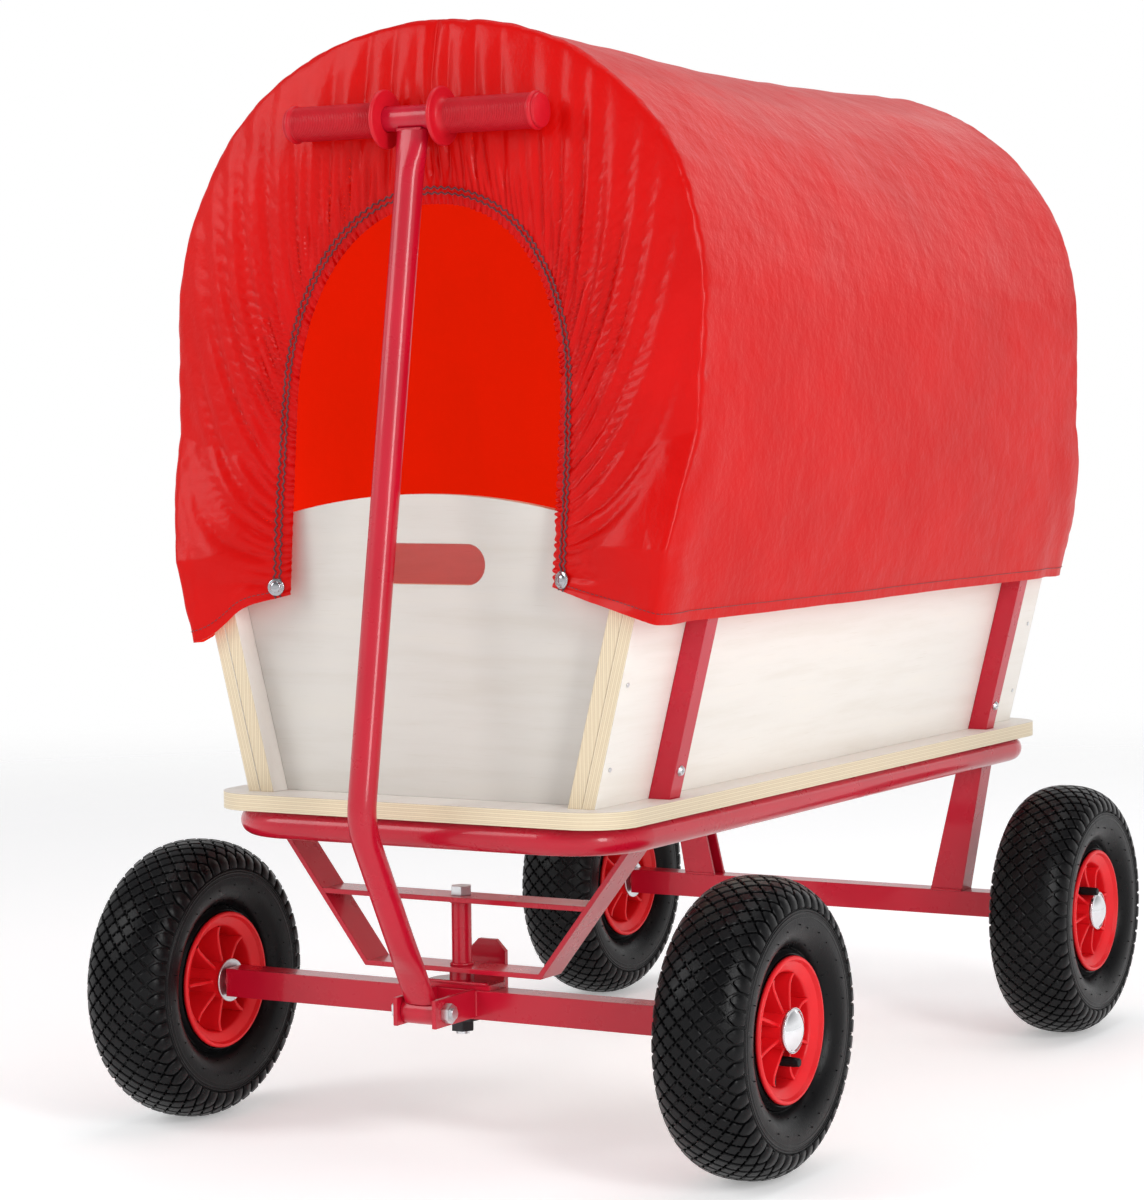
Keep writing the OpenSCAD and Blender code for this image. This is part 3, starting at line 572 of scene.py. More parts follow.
def tyre_outline():
    """Half of the tyre's section from the crown to the bead, without its blocks."""
    out = []
    for i in range(81):
        a = math.radians(90 - 148 * i / 80)
        c, s = math.cos(a), math.sin(a)
        rise = (CROWN_R - TYRE_MID) if s > 0 else 28
        x = BASE_HALF_W * abs(c) ** (2 / 2.4)
        r = TYRE_MID + rise * math.copysign(abs(s) ** (2 / 2.4), s)
        out.append((x, r))
    tail = [(31.2, 65.0), (30.4, 63.0), (29.2, 60.6), (27.0, 57.5)]
    return resample(np.array(out + tail), 600)


class Carcass:
    """The tyre's smooth skin, as a place and direction at each distance from its middle line."""

    def __init__(self):
        self.line = tyre_outline()
        self.run = distances(self.line)
        d = np.gradient(self.line, axis=0)
        d /= np.linalg.norm(d, axis=1)[:, None]
        self.out = np.stack([-d[:, 1], d[:, 0]], axis=1)

    def at(self, s, height=0.0):
        """(x, r) at distance s over the crown, negative to the inside, raised by height."""
        q = np.abs(s)
        x = np.interp(q, self.run, self.line[:, 0])
        r = np.interp(q, self.run, self.line[:, 1])
        nx = np.interp(q, self.run, self.out[:, 0])
        nr = np.interp(q, self.run, self.out[:, 1])
        x, r = x + nx * height, r + nr * height
        return np.where(np.asarray(s) < 0, -x, x), r


def on_wheel(x, r, turn):
    """3-D points of places on a section at angles round the axle."""
    return np.stack([x, -r * np.sin(turn), r * np.cos(turn)], axis=-1)


def ridge(s, place, half_width, height):
    return height * np.clip(1 - ((s - place) / half_width) ** 2, 0, 1)


def sidewall_rings(q):
    h = ridge(q, 52.2, 1.0, 0.9) + ridge(q, 54.4, 0.8, 0.5) + ridge(q, 58.0, 0.5, 0.25)
    h += ridge(q, 92.0, 0.9, 0.45) + ridge(q, 95.0, 0.7, 0.3)
    return h


def carcass_skin(shape, carcass, steps=192):
    end = carcass.run[-1]
    fine = np.concatenate([
        np.linspace(0, 1.2, 4), np.linspace(2.5, 50, 20), np.linspace(51, 59, 34),
        np.linspace(60, 90, 18), np.linspace(91, 96, 16), np.linspace(97, end, 8),
    ])
    s = np.concatenate([-fine[:0:-1], fine])
    height = sidewall_rings(np.abs(s)) + ridge(np.abs(s), 0.0, 0.7, 0.6)
    x, r = carcass.at(s, height)
    turns = np.linspace(0, 2 * np.pi, steps, endpoint=False)
    points = [on_wheel(x, r, t) for t in turns]
    faces = grid_faces(steps, len(s), wrap_rows=True)
    shape.add(np.concatenate(points), faces)


BLOCK_STEPS = np.array([-1.0, -0.93, -0.78, 0.0, 0.78, 0.93, 1.0])


def block_height(p, q):
    edge = np.maximum(np.abs(p), np.abs(q))
    return np.interp(edge, [0.0, 0.78, 0.93, 1.0], [TREAD_H, TREAD_H, TREAD_H - 0.7, -0.8])


def tread_block(shape, carcass, s0, turn0, half_s, half_u):
    p, q = np.meshgrid(BLOCK_STEPS, BLOCK_STEPS, indexing="ij")
    u = half_u * (p + q) / 2
    s = s0 + half_s * (q - p) / 2
    x, r = carcass.at(s, block_height(p, q))
    points = on_wheel(x, r, turn0 + u / CROWN_R)
    n = len(BLOCK_STEPS)
    shape.add(points.reshape(-1, 3), grid_faces(n, n))


def tie_bar(shape, carcass, s0, turn0, lean):
    """Low bridge across the groove between two blocks."""
    corners = []
    for a, b in ((-1, -1), (1, -1), (1, 1), (-1, 1)):
        u = 1.5 * a * math.cos(lean) - 0.8 * b * math.sin(lean)
        s = 1.5 * a * math.sin(lean) + 0.8 * b * math.cos(lean)
        for h in (-0.3, 1.7):
            x, r = carcass.at(np.array(s0 + s), h)
            corners.append(on_wheel(x, r, turn0 + u / CROWN_R))
    faces = [(1, 3, 5, 7), (0, 2, 3, 1), (2, 4, 5, 3), (4, 6, 7, 5), (6, 0, 1, 7)]
    shape.add(corners, faces)


def shoulder_lug(shape, carcass, side, turn0):
    stations = np.array([33.6, 34.4, 37.0, 40.6, 44.0, 47.6, 50.0, 51.0])
    widths = np.array([0.5, 1.6, 4.4, 7.1, 7.0, 6.7, 6.4, 6.0])
    tops = np.array([-0.6, 2.4, 3.0, 3.0, 2.8, 2.3, 1.7, -0.4])
    across = np.array([-1.0, -0.92, -0.78, 0.0, 0.78, 0.92, 1.0])
    fall = np.array([-99.0, -0.6, 0.0, 0.0, 0.0, -0.6, -99.0])
    s, a = np.meshgrid(stations, across, indexing="ij")
    top = tops[:, None] + fall[None, :]
    height = np.maximum(top, -0.6)
    x, r = carcass.at(side * s, height)
    points = on_wheel(x, r, turn0 + widths[:, None] * a / CROWN_R)
    shape.add(points.reshape(-1, 3), grid_faces(len(stations), len(across), flip=side < 0))


def lug_ribs(shape, carcass, side, turn0):
    """Two fine ribs in the gap between two lugs."""
    for off in (-1.2, 1.2):
        corners = []
        for s in (43.0, 50.6):
            for u in (-0.28, 0.28):
                for h in (-0.2, 0.9):
                    x, r = carcass.at(np.array(side * s), h)
                    corners.append(on_wheel(x, r, turn0 + (off + u) / CROWN_R))
        faces = [(1, 5, 7, 3), (0, 4, 5, 1), (2, 3, 7, 6), (4, 6, 7, 5), (0, 1, 3, 2)]
        shape.add(corners, faces)


def vent_nubs(shape, carcass):
    rng = np.random.default_rng(7)
    for side in SIDES:
        for k in range(26):
            for s0 in (66.0, 82.0):
                turn = 2 * math.pi * (k + rng.uniform(-0.2, 0.2) + (0.5 if s0 > 70 else 0)) / 26
                s = side * (s0 + rng.uniform(-2.0, 2.0))
                line = []
                for h in (-0.2, 0.5, rng.uniform(0.8, 1.5)):
                    x, r = carcass.at(np.array(s), h)
                    line.append(on_wheel(x, r, turn))
                shape.add(*tube(line, [0.7, 0.62, 0.42], sides=6))


def tyre_mesh():
    shape = Shape()
    carcass = Carcass()
    carcass_skin(shape, carcass)
    pitch = 2 * math.pi / BLOCKS
    half_u = 0.87 * pitch * CROWN_R / 2
    half_s = 0.87 * ROW_PITCH
    for row in range(-4, 5):
        shift = 0.5 * (row % 2)
        for k in range(BLOCKS):
            tread_block(shape, carcass, row * ROW_PITCH, (k + shift) * pitch, half_s, half_u)
            for lean in SIDES:
                if row < 4:
                    mid = (k + shift + 0.25 * lean) * pitch
                    tie_bar(shape, carcass, (row + 0.5) * ROW_PITCH, mid, lean * 0.78)
    for side in SIDES:
        for k in range(BLOCKS):
            shoulder_lug(shape, carcass, side, (k + 0.5) * pitch)
            lug_ribs(shape, carcass, side, k * pitch)
    vent_nubs(shape, carcass)
    shape.points = scaled(shape.points)
    return shape.mesh("tyre", sharp=40)


def rim_profile():
    """Half of the section of the rim's barrel, with its rolled flange."""
    half = [(0.0, 48.5), (10.0, 48.6), (20.0, 48.9), (24.5, 49.3)]
    half += arc(24.5, 53.3, 4.0, -90, -30, 4)[1:]
    half += [(30.0, 54.6), (31.8, 58.4)]
    half += arc(33.0, 61.0, 2.5, -20, 120, 8)
    half += [(30.6, 61.6), (29.4, 58.6), (27.6, 55.6), (24.0, 52.6), (0.0, 52.0)]
    return half


def both_halves(half):
    return half + [(-x, r) for x, r in half[-2:0:-1]]


def rim_rib(shape, turn, side):
    """Thin radial rib from the hub to the barrel, rounded along its free edge."""
    radii = [15.5, 18.0, 24.0, 32.0, 40.0, 45.0, 49.2]
    reach = [31.0, 30.4, 29.0, 27.4, 26.2, 26.6, 28.0]
    half_t = 1.5
    section = [(-half_t, -0.6, 0), (-half_t, -0.6, 1), (-0.55, 0.0, 1)]
    section += [(0.55, 0.0, 1), (half_t, -0.6, 1), (half_t, -0.6, 0)]
    cos, sin = math.cos(turn), math.sin(turn)
    points = []
    for r, x_end in zip(radii, reach):
        for across, drop, top in section:
            x = side * (x_end + drop) if top else 0.0
            points.append((x, across * cos - r * sin, across * sin + r * cos))
    faces = grid_faces(len(radii), len(section), flip=side > 0)
    shape.add(points, faces)


def rim_mesh():
    shape = Shape()
    shape.add(*revolve(both_halves(rim_profile()), 96, closed=True))
    disc = [(-1.8, 12.0), (-1.8, 46.5)] + arc(-3.8, 46.7, 2.0, 0, 90, 3)[1:]
    disc += [(-3.8, 49.0), (3.8, 49.0)] + arc(3.8, 46.7, 2.0, 90, 180, 3)[1:] + [(1.8, 12.0)]
    shape.add(*revolve(disc, 96, closed=True))
    hub = [(-38.0, 10.2), (-38.0, 16.0), (-37.0, 17.0), (-6.0, 17.0), (-3.0, 18.2), (-1.5, 20.5)]
    hub += [(1.5, 20.5), (3.0, 18.2), (6.0, 17.0), (32.0, 17.0), (33.0, 16.0), (33.0, 10.2)]
    shape.add(*revolve(hub, 64, closed=True))
    for k in range(8):
        for side in SIDES:
            rim_rib(shape, math.radians(45 * (k + 0.5)), side)
    shape.points = scaled(shape.points)
    return shape.mesh("rim", sharp=38)


def cap_mesh():
    """Domed chrome cap with a rolled skirt."""
    base, radius, rise = 35.4, 19.6, 7.8
    dome_r = (radius ** 2 + rise ** 2) / (2 * rise)
    top = math.degrees(math.asin(radius / dome_r))
    out = [(base, 17.5), (base, 19.0)] + arc(base + 0.8, 19.2, 0.8, -120, 40, 5)
    for i in range(1, 15):
        a = math.radians(top * (1 - i / 14))
        out.append((base + rise - dome_r + dome_r * math.cos(a) + 0.35, max(dome_r * math.sin(a) - 0.2, 0.0)))
    return turned("cap", out, 64, 50)


def washer_mesh():
    """Pressed washer with rounded rims, inside the wheel, and its smaller mate outside."""
    shape = Shape()
    for x0, x1, r in ((-40.3, -38.3, 20.0), (33.3, 35.3, 18.0)):
        ring = [(x0, 10.1), (x0, r - 0.7)] + arc(x0 + 0.7, r - 0.7, 0.7, 180, 90, 3)
        ring += arc(x1 - 0.7, r - 0.7, 0.7, 90, 0, 3) + [(x1, 10.1)]
        shape.add(*revolve(ring, 64, closed=True))
    shape.points = scaled(shape.points)
    return shape.mesh("washer", sharp=45)


def valve_mesh():
    """Ribbed dust cap on the valve stem, along X from the bend."""
    steps = 36
    rings = [(24.0, 3.1, 0), (24.0, 4.0, 0), (24.7, 4.35, 0.0), (26.0, 4.35, 0.25), (37.0, 4.25, 0.25),
             (38.4, 4.1, 0.05), (39.2, 3.9, 0), (41.2, 3.8, 0), (41.9, 3.2, 0), (42.0, 0.0, 0)]
    points = []
    for k in range(steps):
        a = 2 * math.pi * k / steps
        for x, r, flute in rings:
            rr = r - flute * (k % 3 == 0)
            points.append((x, -rr * math.sin(a), rr * math.cos(a) + 27.0))
    shape = Shape()
    shape.add(scaled(points), grid_faces(steps, len(rings), wrap_rows=True))
    return shape.mesh("valve", sharp=30)


WHEEL_TURN = {"front_left": 22.5, "front_right": 180.0, "rear_left": 120.0, "rear_right": 35.0}


def wheel_place(name):
    turn = math.radians(WHEEL_TURN[name])
    at = Matrix.Translation(centre("tyre_" + name))
    if name.endswith("left"):
        return at @ Matrix.Rotation(math.pi, 4, "Z") @ Matrix.Rotation(-turn, 4, "X")
    return at @ Matrix.Rotation(turn, 4, "X")


def instance(mesh, name, place, material):
    """A copy of a mesh with its place worked into its points."""
    copy = mesh.copy()
    copy.transform(place)
    return link(copy, name, [material])


def make_wheels():
    looks = (
        (tyre_mesh(), "tread_tyre_", "tyre_black", "tyre_black", "tyre_"),
        (rim_mesh(), "ribbed_rim_", "rim_red", "rim_red", "rim_"),
        (valve_mesh(), "valve_", "tube_black", "cap_black", "valve_cap_"),
    )
    for name in WHEELS:
        for mesh, title, material, slot, node in looks:
            piece = instance(mesh, title + name, wheel_place(name), MAT[material])
            put(piece, "wheel_" + name, slot, node + name)
        paint("inner_tube_" + name, MAT["tube_black"])


def make_wheel_metal():
    cap, washer = cap_mesh(), washer_mesh()
    for end, body in (("front", "steering"), ("rear", "wagon")):
        for side in ("left", "right"):
            place = Matrix.Translation(centre(f"tyre_{end}_{side}"))
            if side == "left":
                place = place @ Matrix.Rotation(math.pi, 4, "Z")
            hub = put(instance(cap, f"hub_cap_{end}_{side}", place, MAT["chrome"]), body, "chrome")
            ring = put(instance(washer, f"axle_washer_{end}_{side}", place, MAT["zinc"]), body, "zinc")
            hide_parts(end + "_hub_caps")
            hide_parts(end + "_washers")


# ---- cover ----

COVER_LOW, COVER_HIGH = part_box("canopy_cover")
HALF_W = COVER_HIGH.x
TOP_Z = COVER_HIGH.z
HEM_Z = COVER_LOW.z
HEM_HALF_W = 0.247
SHOULDER_Z = 0.740
OPEN_HALF_W = 0.136
OPEN_TOP_Z = 0.840
OPEN_FOOT_Z = 0.507
OPEN_SHOULDER_Z = 0.665
ARCH_POW = 2.15
SIDE_POW = 2.2
AROUND = 721
FRILL = 0.0085
ELASTIC = 0.0155
EDGE_ROUND = 0.006
ROOF_SAG = 0.011
ARCH_INSET = 0.0012
SHEET_T = 0.0009


def crown(half_w, foot_z, rise):
    """Upper half of an arch as (x, z), from its shoulder at +X to the crown."""
    out = []
    for i in range(121):
        a = math.radians(90 * i / 120)
        x = half_w * math.cos(a) ** (2 / ARCH_POW) if i < 120 else 0.0
        out.append((x, foot_z + rise * math.sin(a) ** (2 / ARCH_POW)))
    return out


def arch_curve():
    """Half of the cover's arch as (x, z), from the foot at +X to the crown."""
    out = []
    for i in range(60):
        z = HEM_Z + (SHOULDER_Z - HEM_Z) * i / 60
        lean = (HALF_W - HEM_HALF_W) * ((SHOULDER_Z - z) / (SHOULDER_Z - HEM_Z)) ** SIDE_POW
        out.append((HALF_W - lean - ARCH_INSET, z))
    return np.array(out + crown(HALF_W - ARCH_INSET, SHOULDER_Z, TOP_Z - ARCH_INSET - SHOULDER_Z))


def opening_curve():
    out = [(OPEN_HALF_W, OPEN_FOOT_Z + (OPEN_SHOULDER_Z - OPEN_FOOT_Z) * i / 40) for i in range(40)]
    return np.array(out + crown(OPEN_HALF_W, OPEN_SHOULDER_Z, OPEN_TOP_Z - OPEN_SHOULDER_Z))


def whole(half, count):
    half = resample(half, (count + 1) // 2)
    other = half[-2::-1].copy()
    other[:, 0] *= -1
    return np.concatenate([half, other])


def edge_reach(z):
    """Distance of the cover's front or rear edge from the middle of the wagon."""
    return 0.434 + 0.040 * np.clip((0.640 - z) / 0.100, 0, 1) - np.clip(z - 0.640, 0, 1) * 0.05


def opening_reach(z):
    return 0.452 - 0.032 * (z - OPEN_FOOT_Z) / (OPEN_TOP_Z - OPEN_FOOT_Z)


def face_rows(end):
    """Rows of points of a gathered end face, from the opening's edge to the corner at the hoop,
    with each row's distance from the opening's edge."""
    arch, door = whole(arch_curve(), AROUND), whole(opening_curve(), AROUND)
    t = np.linspace(0, 1, AROUND)
    door3 = np.stack([door[:, 0], end * opening_reach(door[:, 1]), door[:, 1]], axis=1)
    arch3 = np.stack([arch[:, 0], end * edge_reach(arch[:, 1]), arch[:, 1]], axis=1)
    width = np.linalg.norm(arch3 - door3, axis=1)
    steps = np.concatenate([
        np.array([0.0, 0.0022, 0.0046, 0.0068, FRILL, 0.0105, 0.0130, ELASTIC, 0.0185]),
        np.linspace(0.022, 0.045, 8), np.linspace(0.051, 0.100, 9),
    ])
    rows, places = [], []
    for d in steps:
        w = d / width
        rows.append(door3 + (arch3 - door3) * w[:, None])
        places.append(np.full(AROUND, d))
    for f in np.linspace(0, 1, 9)[1:]:
        last = steps[-1] + (width - EDGE_ROUND - steps[-1]) * f
        w = last / width
        rows.append(door3 + (arch3 - door3) * w[:, None])
        places.append(last)
    puff = []
    for row, d in zip(rows, places):
        w = np.clip(d / width, 0, 1)
        low = ease(row[:, 2], 0.46, 0.62)
        swell = 0.010 * np.sin(np.pi * w) ** 0.8 * (0.35 + 0.65 * low)
        moved = row.copy()
        moved[:, 1] += end * swell
        puff.append(moved)
    return t, puff, places, width, arch3


def roof_rows():
    """Rows of the roof and sides from the front edge to the rear edge."""
    arch = whole(arch_curve(), AROUND)
    reach = edge_reach(arch[:, 1])
    normal = np.gradient(arch, axis=0)
    normal = np.stack([normal[:, 1], -normal[:, 0]], axis=1)
    normal /= np.linalg.norm(normal, axis=1)[:, None]
    high = ease(arch[:, 1], 0.60, 0.92)
    rows, places = [], []
    for s in np.linspace(0, 1, 41):
        f = 0.5 - 0.5 * math.cos(math.pi * s)
        f = 0.35 * f + 0.65 * s
        y = (-reach + EDGE_ROUND) + 2 * (reach - EDGE_ROUND) * f
        dip = ROOF_SAG * math.sin(math.pi * f) ** 0.85 * high
        rows.append(np.stack([arch[:, 0] - normal[:, 0] * dip, y, arch[:, 1] - normal[:, 1] * dip], axis=1))
        places.append(np.full(AROUND, f))
    return rows, places, arch


def corner_rows(a, corner, b, count=4):
    """Rounds the corner between two rows."""
    out = []
    for i in range(1, count + 1):
        f = i / (count + 1)
        out.append((1 - f) ** 2 * a + 2 * f * (1 - f) * corner + f ** 2 * b)
    return out


def surface_normals(grid):
    """Directions out of the cover at each point."""
    du = np.gradient(grid, axis=1)
    dv = np.gradient(grid, axis=0)
    n = np.cross(dv, du)
    return n / np.maximum(np.linalg.norm(n, axis=2, keepdims=True), 1e-12)


def pleats(t, d, count, seed, slant):
    """Round folds with narrow valleys between them across the gathered face, count of them round
    the opening, uneven in width and height."""
    drift = wave_noise(seed)
    size = wave_noise(seed + 1)
    base = t - slant * d
    phase = base * count + 0.55 * drift(base * count * 0.31) + 0.25 * drift(base * count * 0.9 + 50)
    bulge = np.abs(np.sin(np.pi * phase)) ** 0.75
    return (bulge - 0.68) * (0.60 + 0.40 * size(base * count * 0.5 + 9))


def face_relief(t, d, width, seed):
    """Height of the folds in the gathered end face, in metres."""
    lean = 1.1 * np.sin(2 * np.pi * t)
    inside = np.maximum(d - ELASTIC, 0)
    fine = pleats(t, 0 * d, 132, seed, 0 * t)
    tip = 0.0042 * (1 - ease(d, 0.0, FRILL)) + 0.0012
    frill = tip * (1 - ease(d, FRILL, ELASTIC)) * fine
    band = 0.0006 * ease(d, 0.006, FRILL) * (1 - ease(d, ELASTIC, 0.022)) * fine
    small = 0.0044 * ease(d, 0.0125, 0.019) * (1 - ease(d, 0.024, 0.070))
    small = small * pleats(t, inside, 104, seed + 10, lean)
    mid = 0.0066 * ease(d, 0.016, 0.038) * (1 - ease(d, 0.055, 0.125))
    mid = mid * pleats(t, inside, 52, seed + 20, lean)
    wide = 0.0078 * ease(d, 0.025, 0.070) * (1 - 0.8 * ease(d / width, 0.60, 1.0))
    wide = wide * pleats(t, inside, 23, seed + 30, lean)
    return frill + band + small + mid + wide


def seam_relief(t, d):
    """Overlap and tuck of the seam at the top of the end face."""
    off = (t - 0.5) * 0.86
    lap = 0.0016 * ease(off, -0.0012, 0.0) * (1 - ease(off, 0.012, 0.030))
    tuck = -0.0030 * np.exp(-((off + 0.0012) / 0.0030) ** 2)
    return (lap + tuck) * ease(d, ELASTIC, 0.03)


def roof_relief(t, f, arch):
    """Soft waves, drawn creases and crumples of the roof and sides, in metres."""
    slow, quick = patch_noise(11), patch_noise(12)
    h = 0.0014 * slow(t * 14, f * 5) + 0.0007 * quick(t * 46, f * 20)
    z = arch[:, 1][None, :]
    low = 1 - ease(z, HEM_Z, 0.70)
    h = h + 0.0016 * low
    side_run = np.abs(t - 0.5) * 2
    for edge in (f, 1 - f):
        pull = np.exp(-(edge / 0.07) ** 2) * low
        h = h + 0.0035 * pull * np.cos(edge * 62 + side_run * 5.0)
        h = h + 0.0010 * np.exp(-edge / 0.05) * pleats(t, edge * 0, 62, 70, 0 * t)
    return h


def drawn_corners(grid):
    """Hem corners pulled in round the box, the front left one lower, as its snap holds it."""
    x, y, z = grid[..., 0].copy(), grid[..., 1].copy(), grid[..., 2].copy()
    low = 1 - ease(z, HEM_Z, 0.62)
    front, rear = 1 - ease(y, -0.455, -0.375), ease(y, 0.375, 0.455)
    left = ease(-x, 0.15, 0.24) * low * front
    grid[..., 0] += 0.017 * left
    grid[..., 2] -= 0.026 * left
    back = ease(np.abs(x), 0.15, 0.24) * low * rear
    grid[..., 0] -= np.sign(x) * 0.012 * back
    grid[..., 1] -= 0.007 * back
    foot = ease(-x, 0.10, 0.136) * (1 - ease(-x, 0.15, 0.20)) * (1 - ease(z, OPEN_FOOT_Z, 0.60)) * front
    grid[..., 2] -= 0.011 * foot
    return grid


def join_rows(relief, start, stop):
    """Leads the relief of one row over to another's across the rows between them."""
    for k in range(start + 1, stop):
        w = (k - start) / (stop - start)
        relief[k] = (1 - w) * relief[start] + w * relief[stop]


def cloth_grid():
    """Points of the cover's outer side, row by row from the front opening to the rear one, and
    the directions out of it."""
    t, front, front_at, width, arch_front = face_rows(-1)
    _, rear, rear_at, _, arch_rear = face_rows(1)
    roof, roof_at, arch = roof_rows()
    count = len(front)
    rows = front + corner_rows(front[-1], arch_front, roof[0])
    first_roof = len(rows)
    rows += roof
    last_roof = len(rows)
    rows += corner_rows(roof[-1], arch_rear, rear[-1])
    first_rear = len(rows)
    rows += rear[::-1]
    grid = np.array(rows)
    normal = surface_normals(grid)
    relief = np.zeros(grid.shape[:2])
    t_face = np.broadcast_to(t, (count, AROUND))
    for at, seed, start in ((front_at, 100, 0), (rear_at[::-1], 300, first_rear)):
        d = np.array(at)
        relief[start:start + count] = face_relief(t_face, d, width, seed) + seam_relief(t_face, d)
    f = np.array(roof_at)
    relief[first_roof:last_roof] = roof_relief(np.broadcast_to(t, f.shape), f, arch)
    join_rows(relief, count - 1, first_roof)
    join_rows(relief, last_roof - 1, first_rear)
    crumple = patch_noise(31)
    round_at = np.broadcast_to(t, relief.shape)
    along_at = np.broadcast_to(np.linspace(0, 1, len(rows))[:, None], relief.shape)
    relief += 0.0005 * crumple(round_at * 90, along_at * 60)
    grid = drawn_corners(grid + normal * relief[..., None])
    grid[..., 1] += MIDDLE_Y
    return grid, normal


def thick_sheet(grid, normal, thickness):
    """Closed thin shell of a grid of points, with the grid as its outer side, whose faces come
    first and are counted by outer."""
    rows, cols = grid.shape[:2]
    inner = grid - normal * thickness
    points = np.concatenate([grid.reshape(-1, 3), inner.reshape(-1, 3)])
    faces = grid_faces(rows, cols)
    n = rows * cols
    outer = len(faces)
    faces += [tuple(n + i for i in reversed(f)) for f in faces]
    rim = [(0, j) for j in range(cols)] + [(i, cols - 1) for i in range(1, rows)]
    rim += [(rows - 1, j) for j in range(cols - 2, -1, -1)] + [(i, 0) for i in range(rows - 2, 0, -1)]
    ids = [i * cols + j for i, j in rim]
    for k, a in enumerate(ids):
        b = ids[(k + 1) % len(ids)]
        faces.append((a, a + n, b + n, b))
    return points, faces, outer


def stitches(shape, line, normal, length, gap, radius=0.0004, lift=0.0006):
    """Short raised stitches along a line of points on the cloth."""
    line = np.asarray(line) + np.asarray(normal) * lift
    run = distances(line)
    place = 0.0
    while place + length < run[-1]:
        at = [place, place + length * 0.5, place + length]
        pts = np.stack([np.interp(at, run, line[:, k]) for k in range(3)], axis=1)
        shape.add(*tube(pts, [radius * 0.7, radius, radius * 0.7], sides=5))
        place += length + gap


def zigzag(shape, row_a, row_b, normal, step, radius=0.0008, lift=0.0009):
    """Zigzag thread of the elastic between two rows of points."""
    a = np.asarray(row_a) + np.asarray(normal) * lift
    b = np.asarray(row_b) + np.asarray(normal) * lift
    line = [(a if (k // step) % 2 == 0 else b)[k] for k in range(0, len(a), step)]
    for p, q in zip(line[:-1], line[1:]):
        shape.add(*tube([p, q], radius, sides=4))


def make_cover():
    """The cloth with its stitches. Returns the points of its outer side and the directions out."""
    grid, normal = cloth_grid()
    points, faces, outer = thick_sheet(grid, normal, SHEET_T)
    shape = Shape()
    shape.add(points, faces)
    # inner faces take the lining material, whose emission is a painted glow
    shape.slots[outer:2 * outer] = [1] * outer
    cover = shape.piece("canopy_cloth", [MAT["cover_red"], MAT["lining_red_painted_glow"]], 70)
    put(cover, "wagon", "cover_red", "canopy_cover", "canopy_front", "canopy_rear")
    sewn = Shape()
    rows = len(grid)
    for order in (range(rows), range(rows)[::-1]):
        for a, b in ((order[4], order[5]), (order[6], order[7])):
            zigzag(sewn, grid[a], grid[b], normal[a], 3)
    for j in (5, AROUND - 6):
        stitches(sewn, grid[3:rows - 3, j], normal[3:rows - 3, j], 0.0030, 0.0014)
    seams = sewn.piece("canopy_stitching", [MAT["thread"]], 60)
    put(seams, "wagon", "cover_red")
    return grid, normal


def snap_mesh():
    """Domed press stud along X, with a rolled ring."""
    out = [(0.0, 7.6), (0.5, 7.9), (1.2, 7.6), (1.6, 6.6), (1.5, 5.6), (1.9, 5.2), (2.7, 4.6)]
    out += [(3.3, 3.4), (3.6, 1.8), (3.7, 0.0)]
    return turned("snap", out, 32, 60)


def make_snaps(grid, normal):
    mesh = snap_mesh()
    rows = len(grid)
    for end, row in (("front", 6), ("rear", rows - 7)):
        for side, j in (("right", 8), ("left", AROUND - 9)):
            out = Vector(normal[row, j]).normalized()
            at = Vector(grid[row, j]) + out * 0.0012
            place = Matrix.Translation(at) @ Vector((1, 0, 0)).rotation_difference(out).to_matrix().to_4x4()
            snap = put(instance(mesh, f"snap_{end}_{side}", place, MAT["snap_steel"]), "wagon", "chrome")
            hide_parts("canopy_snaps")


# ---- pull handle ----

def grip_profile():
    """Section of a grip from its flange to its closed end, in millimetres from the wagon's middle."""
    out = [(27.0, 11.3), (27.0, 22.5)] + arc(29.2, 23.8, 2.2, 200, -20, 10)
    out += [(31.6, 20.0), (31.8, 17.6), (33.2, 15.6), (36.0, 14.9), (38.0, 14.8)]
    x = 38.5
    while x < 119.0:
        out += [(x, 14.75), (x + 0.35, 15.45), (x + 0.85, 15.45), (x + 1.2, 14.75)]
        x += 1.7
    out += [(120.0, 14.7), (121.0, 14.7)] + arc(123.6, 14.6, 2.3, 170, 0, 8)
    out += arc(126.6, 10.8, 4.3, 60, 90, 2)[::-1]
    out += [(130.4, 9.0), (130.9, 6.0), (131.0, 0.0)]
    return out


def make_grips():
    tube_at = centre("cross_tube")
    mesh = turned("grip", grip_profile(), 72, 50)
    for side, turn in (("right", 0.0), ("left", math.pi)):
        place = Matrix.Translation((0, tube_at.y, tube_at.z)) @ Matrix.Rotation(turn, 4, "Z")
        grip = instance(mesh, "ribbed_grip_" + side, place, MAT["grip_red"])
        put(grip, "pull_handle", "grip_red", "grip_" + side)


# ---- welds ----

def bead(shape, line, radius, seed, step=0.0021):
    """Lumpy weld bead along a line."""
    line = np.asarray(line, float)
    length = np.linalg.norm(np.diff(line, axis=0), axis=1).sum()
    n = max(6, int(length / step) * 3)
    pts = resample(line, n)
    rng = np.random.default_rng(seed)
    lumps = np.array([0.86, 1.08, 0.98])[np.arange(n) % 3] * rng.uniform(0.92, 1.08, n)
    lumps[0] *= 0.5
    lumps[-1] *= 0.5
    shape.add(*tube(pts, [float(v) for v in radius * lumps], sides=8))


def welded(shape, name, body):
    put(shape.piece(name, [MAT["frame_red"]], 60), body, "frame_red")


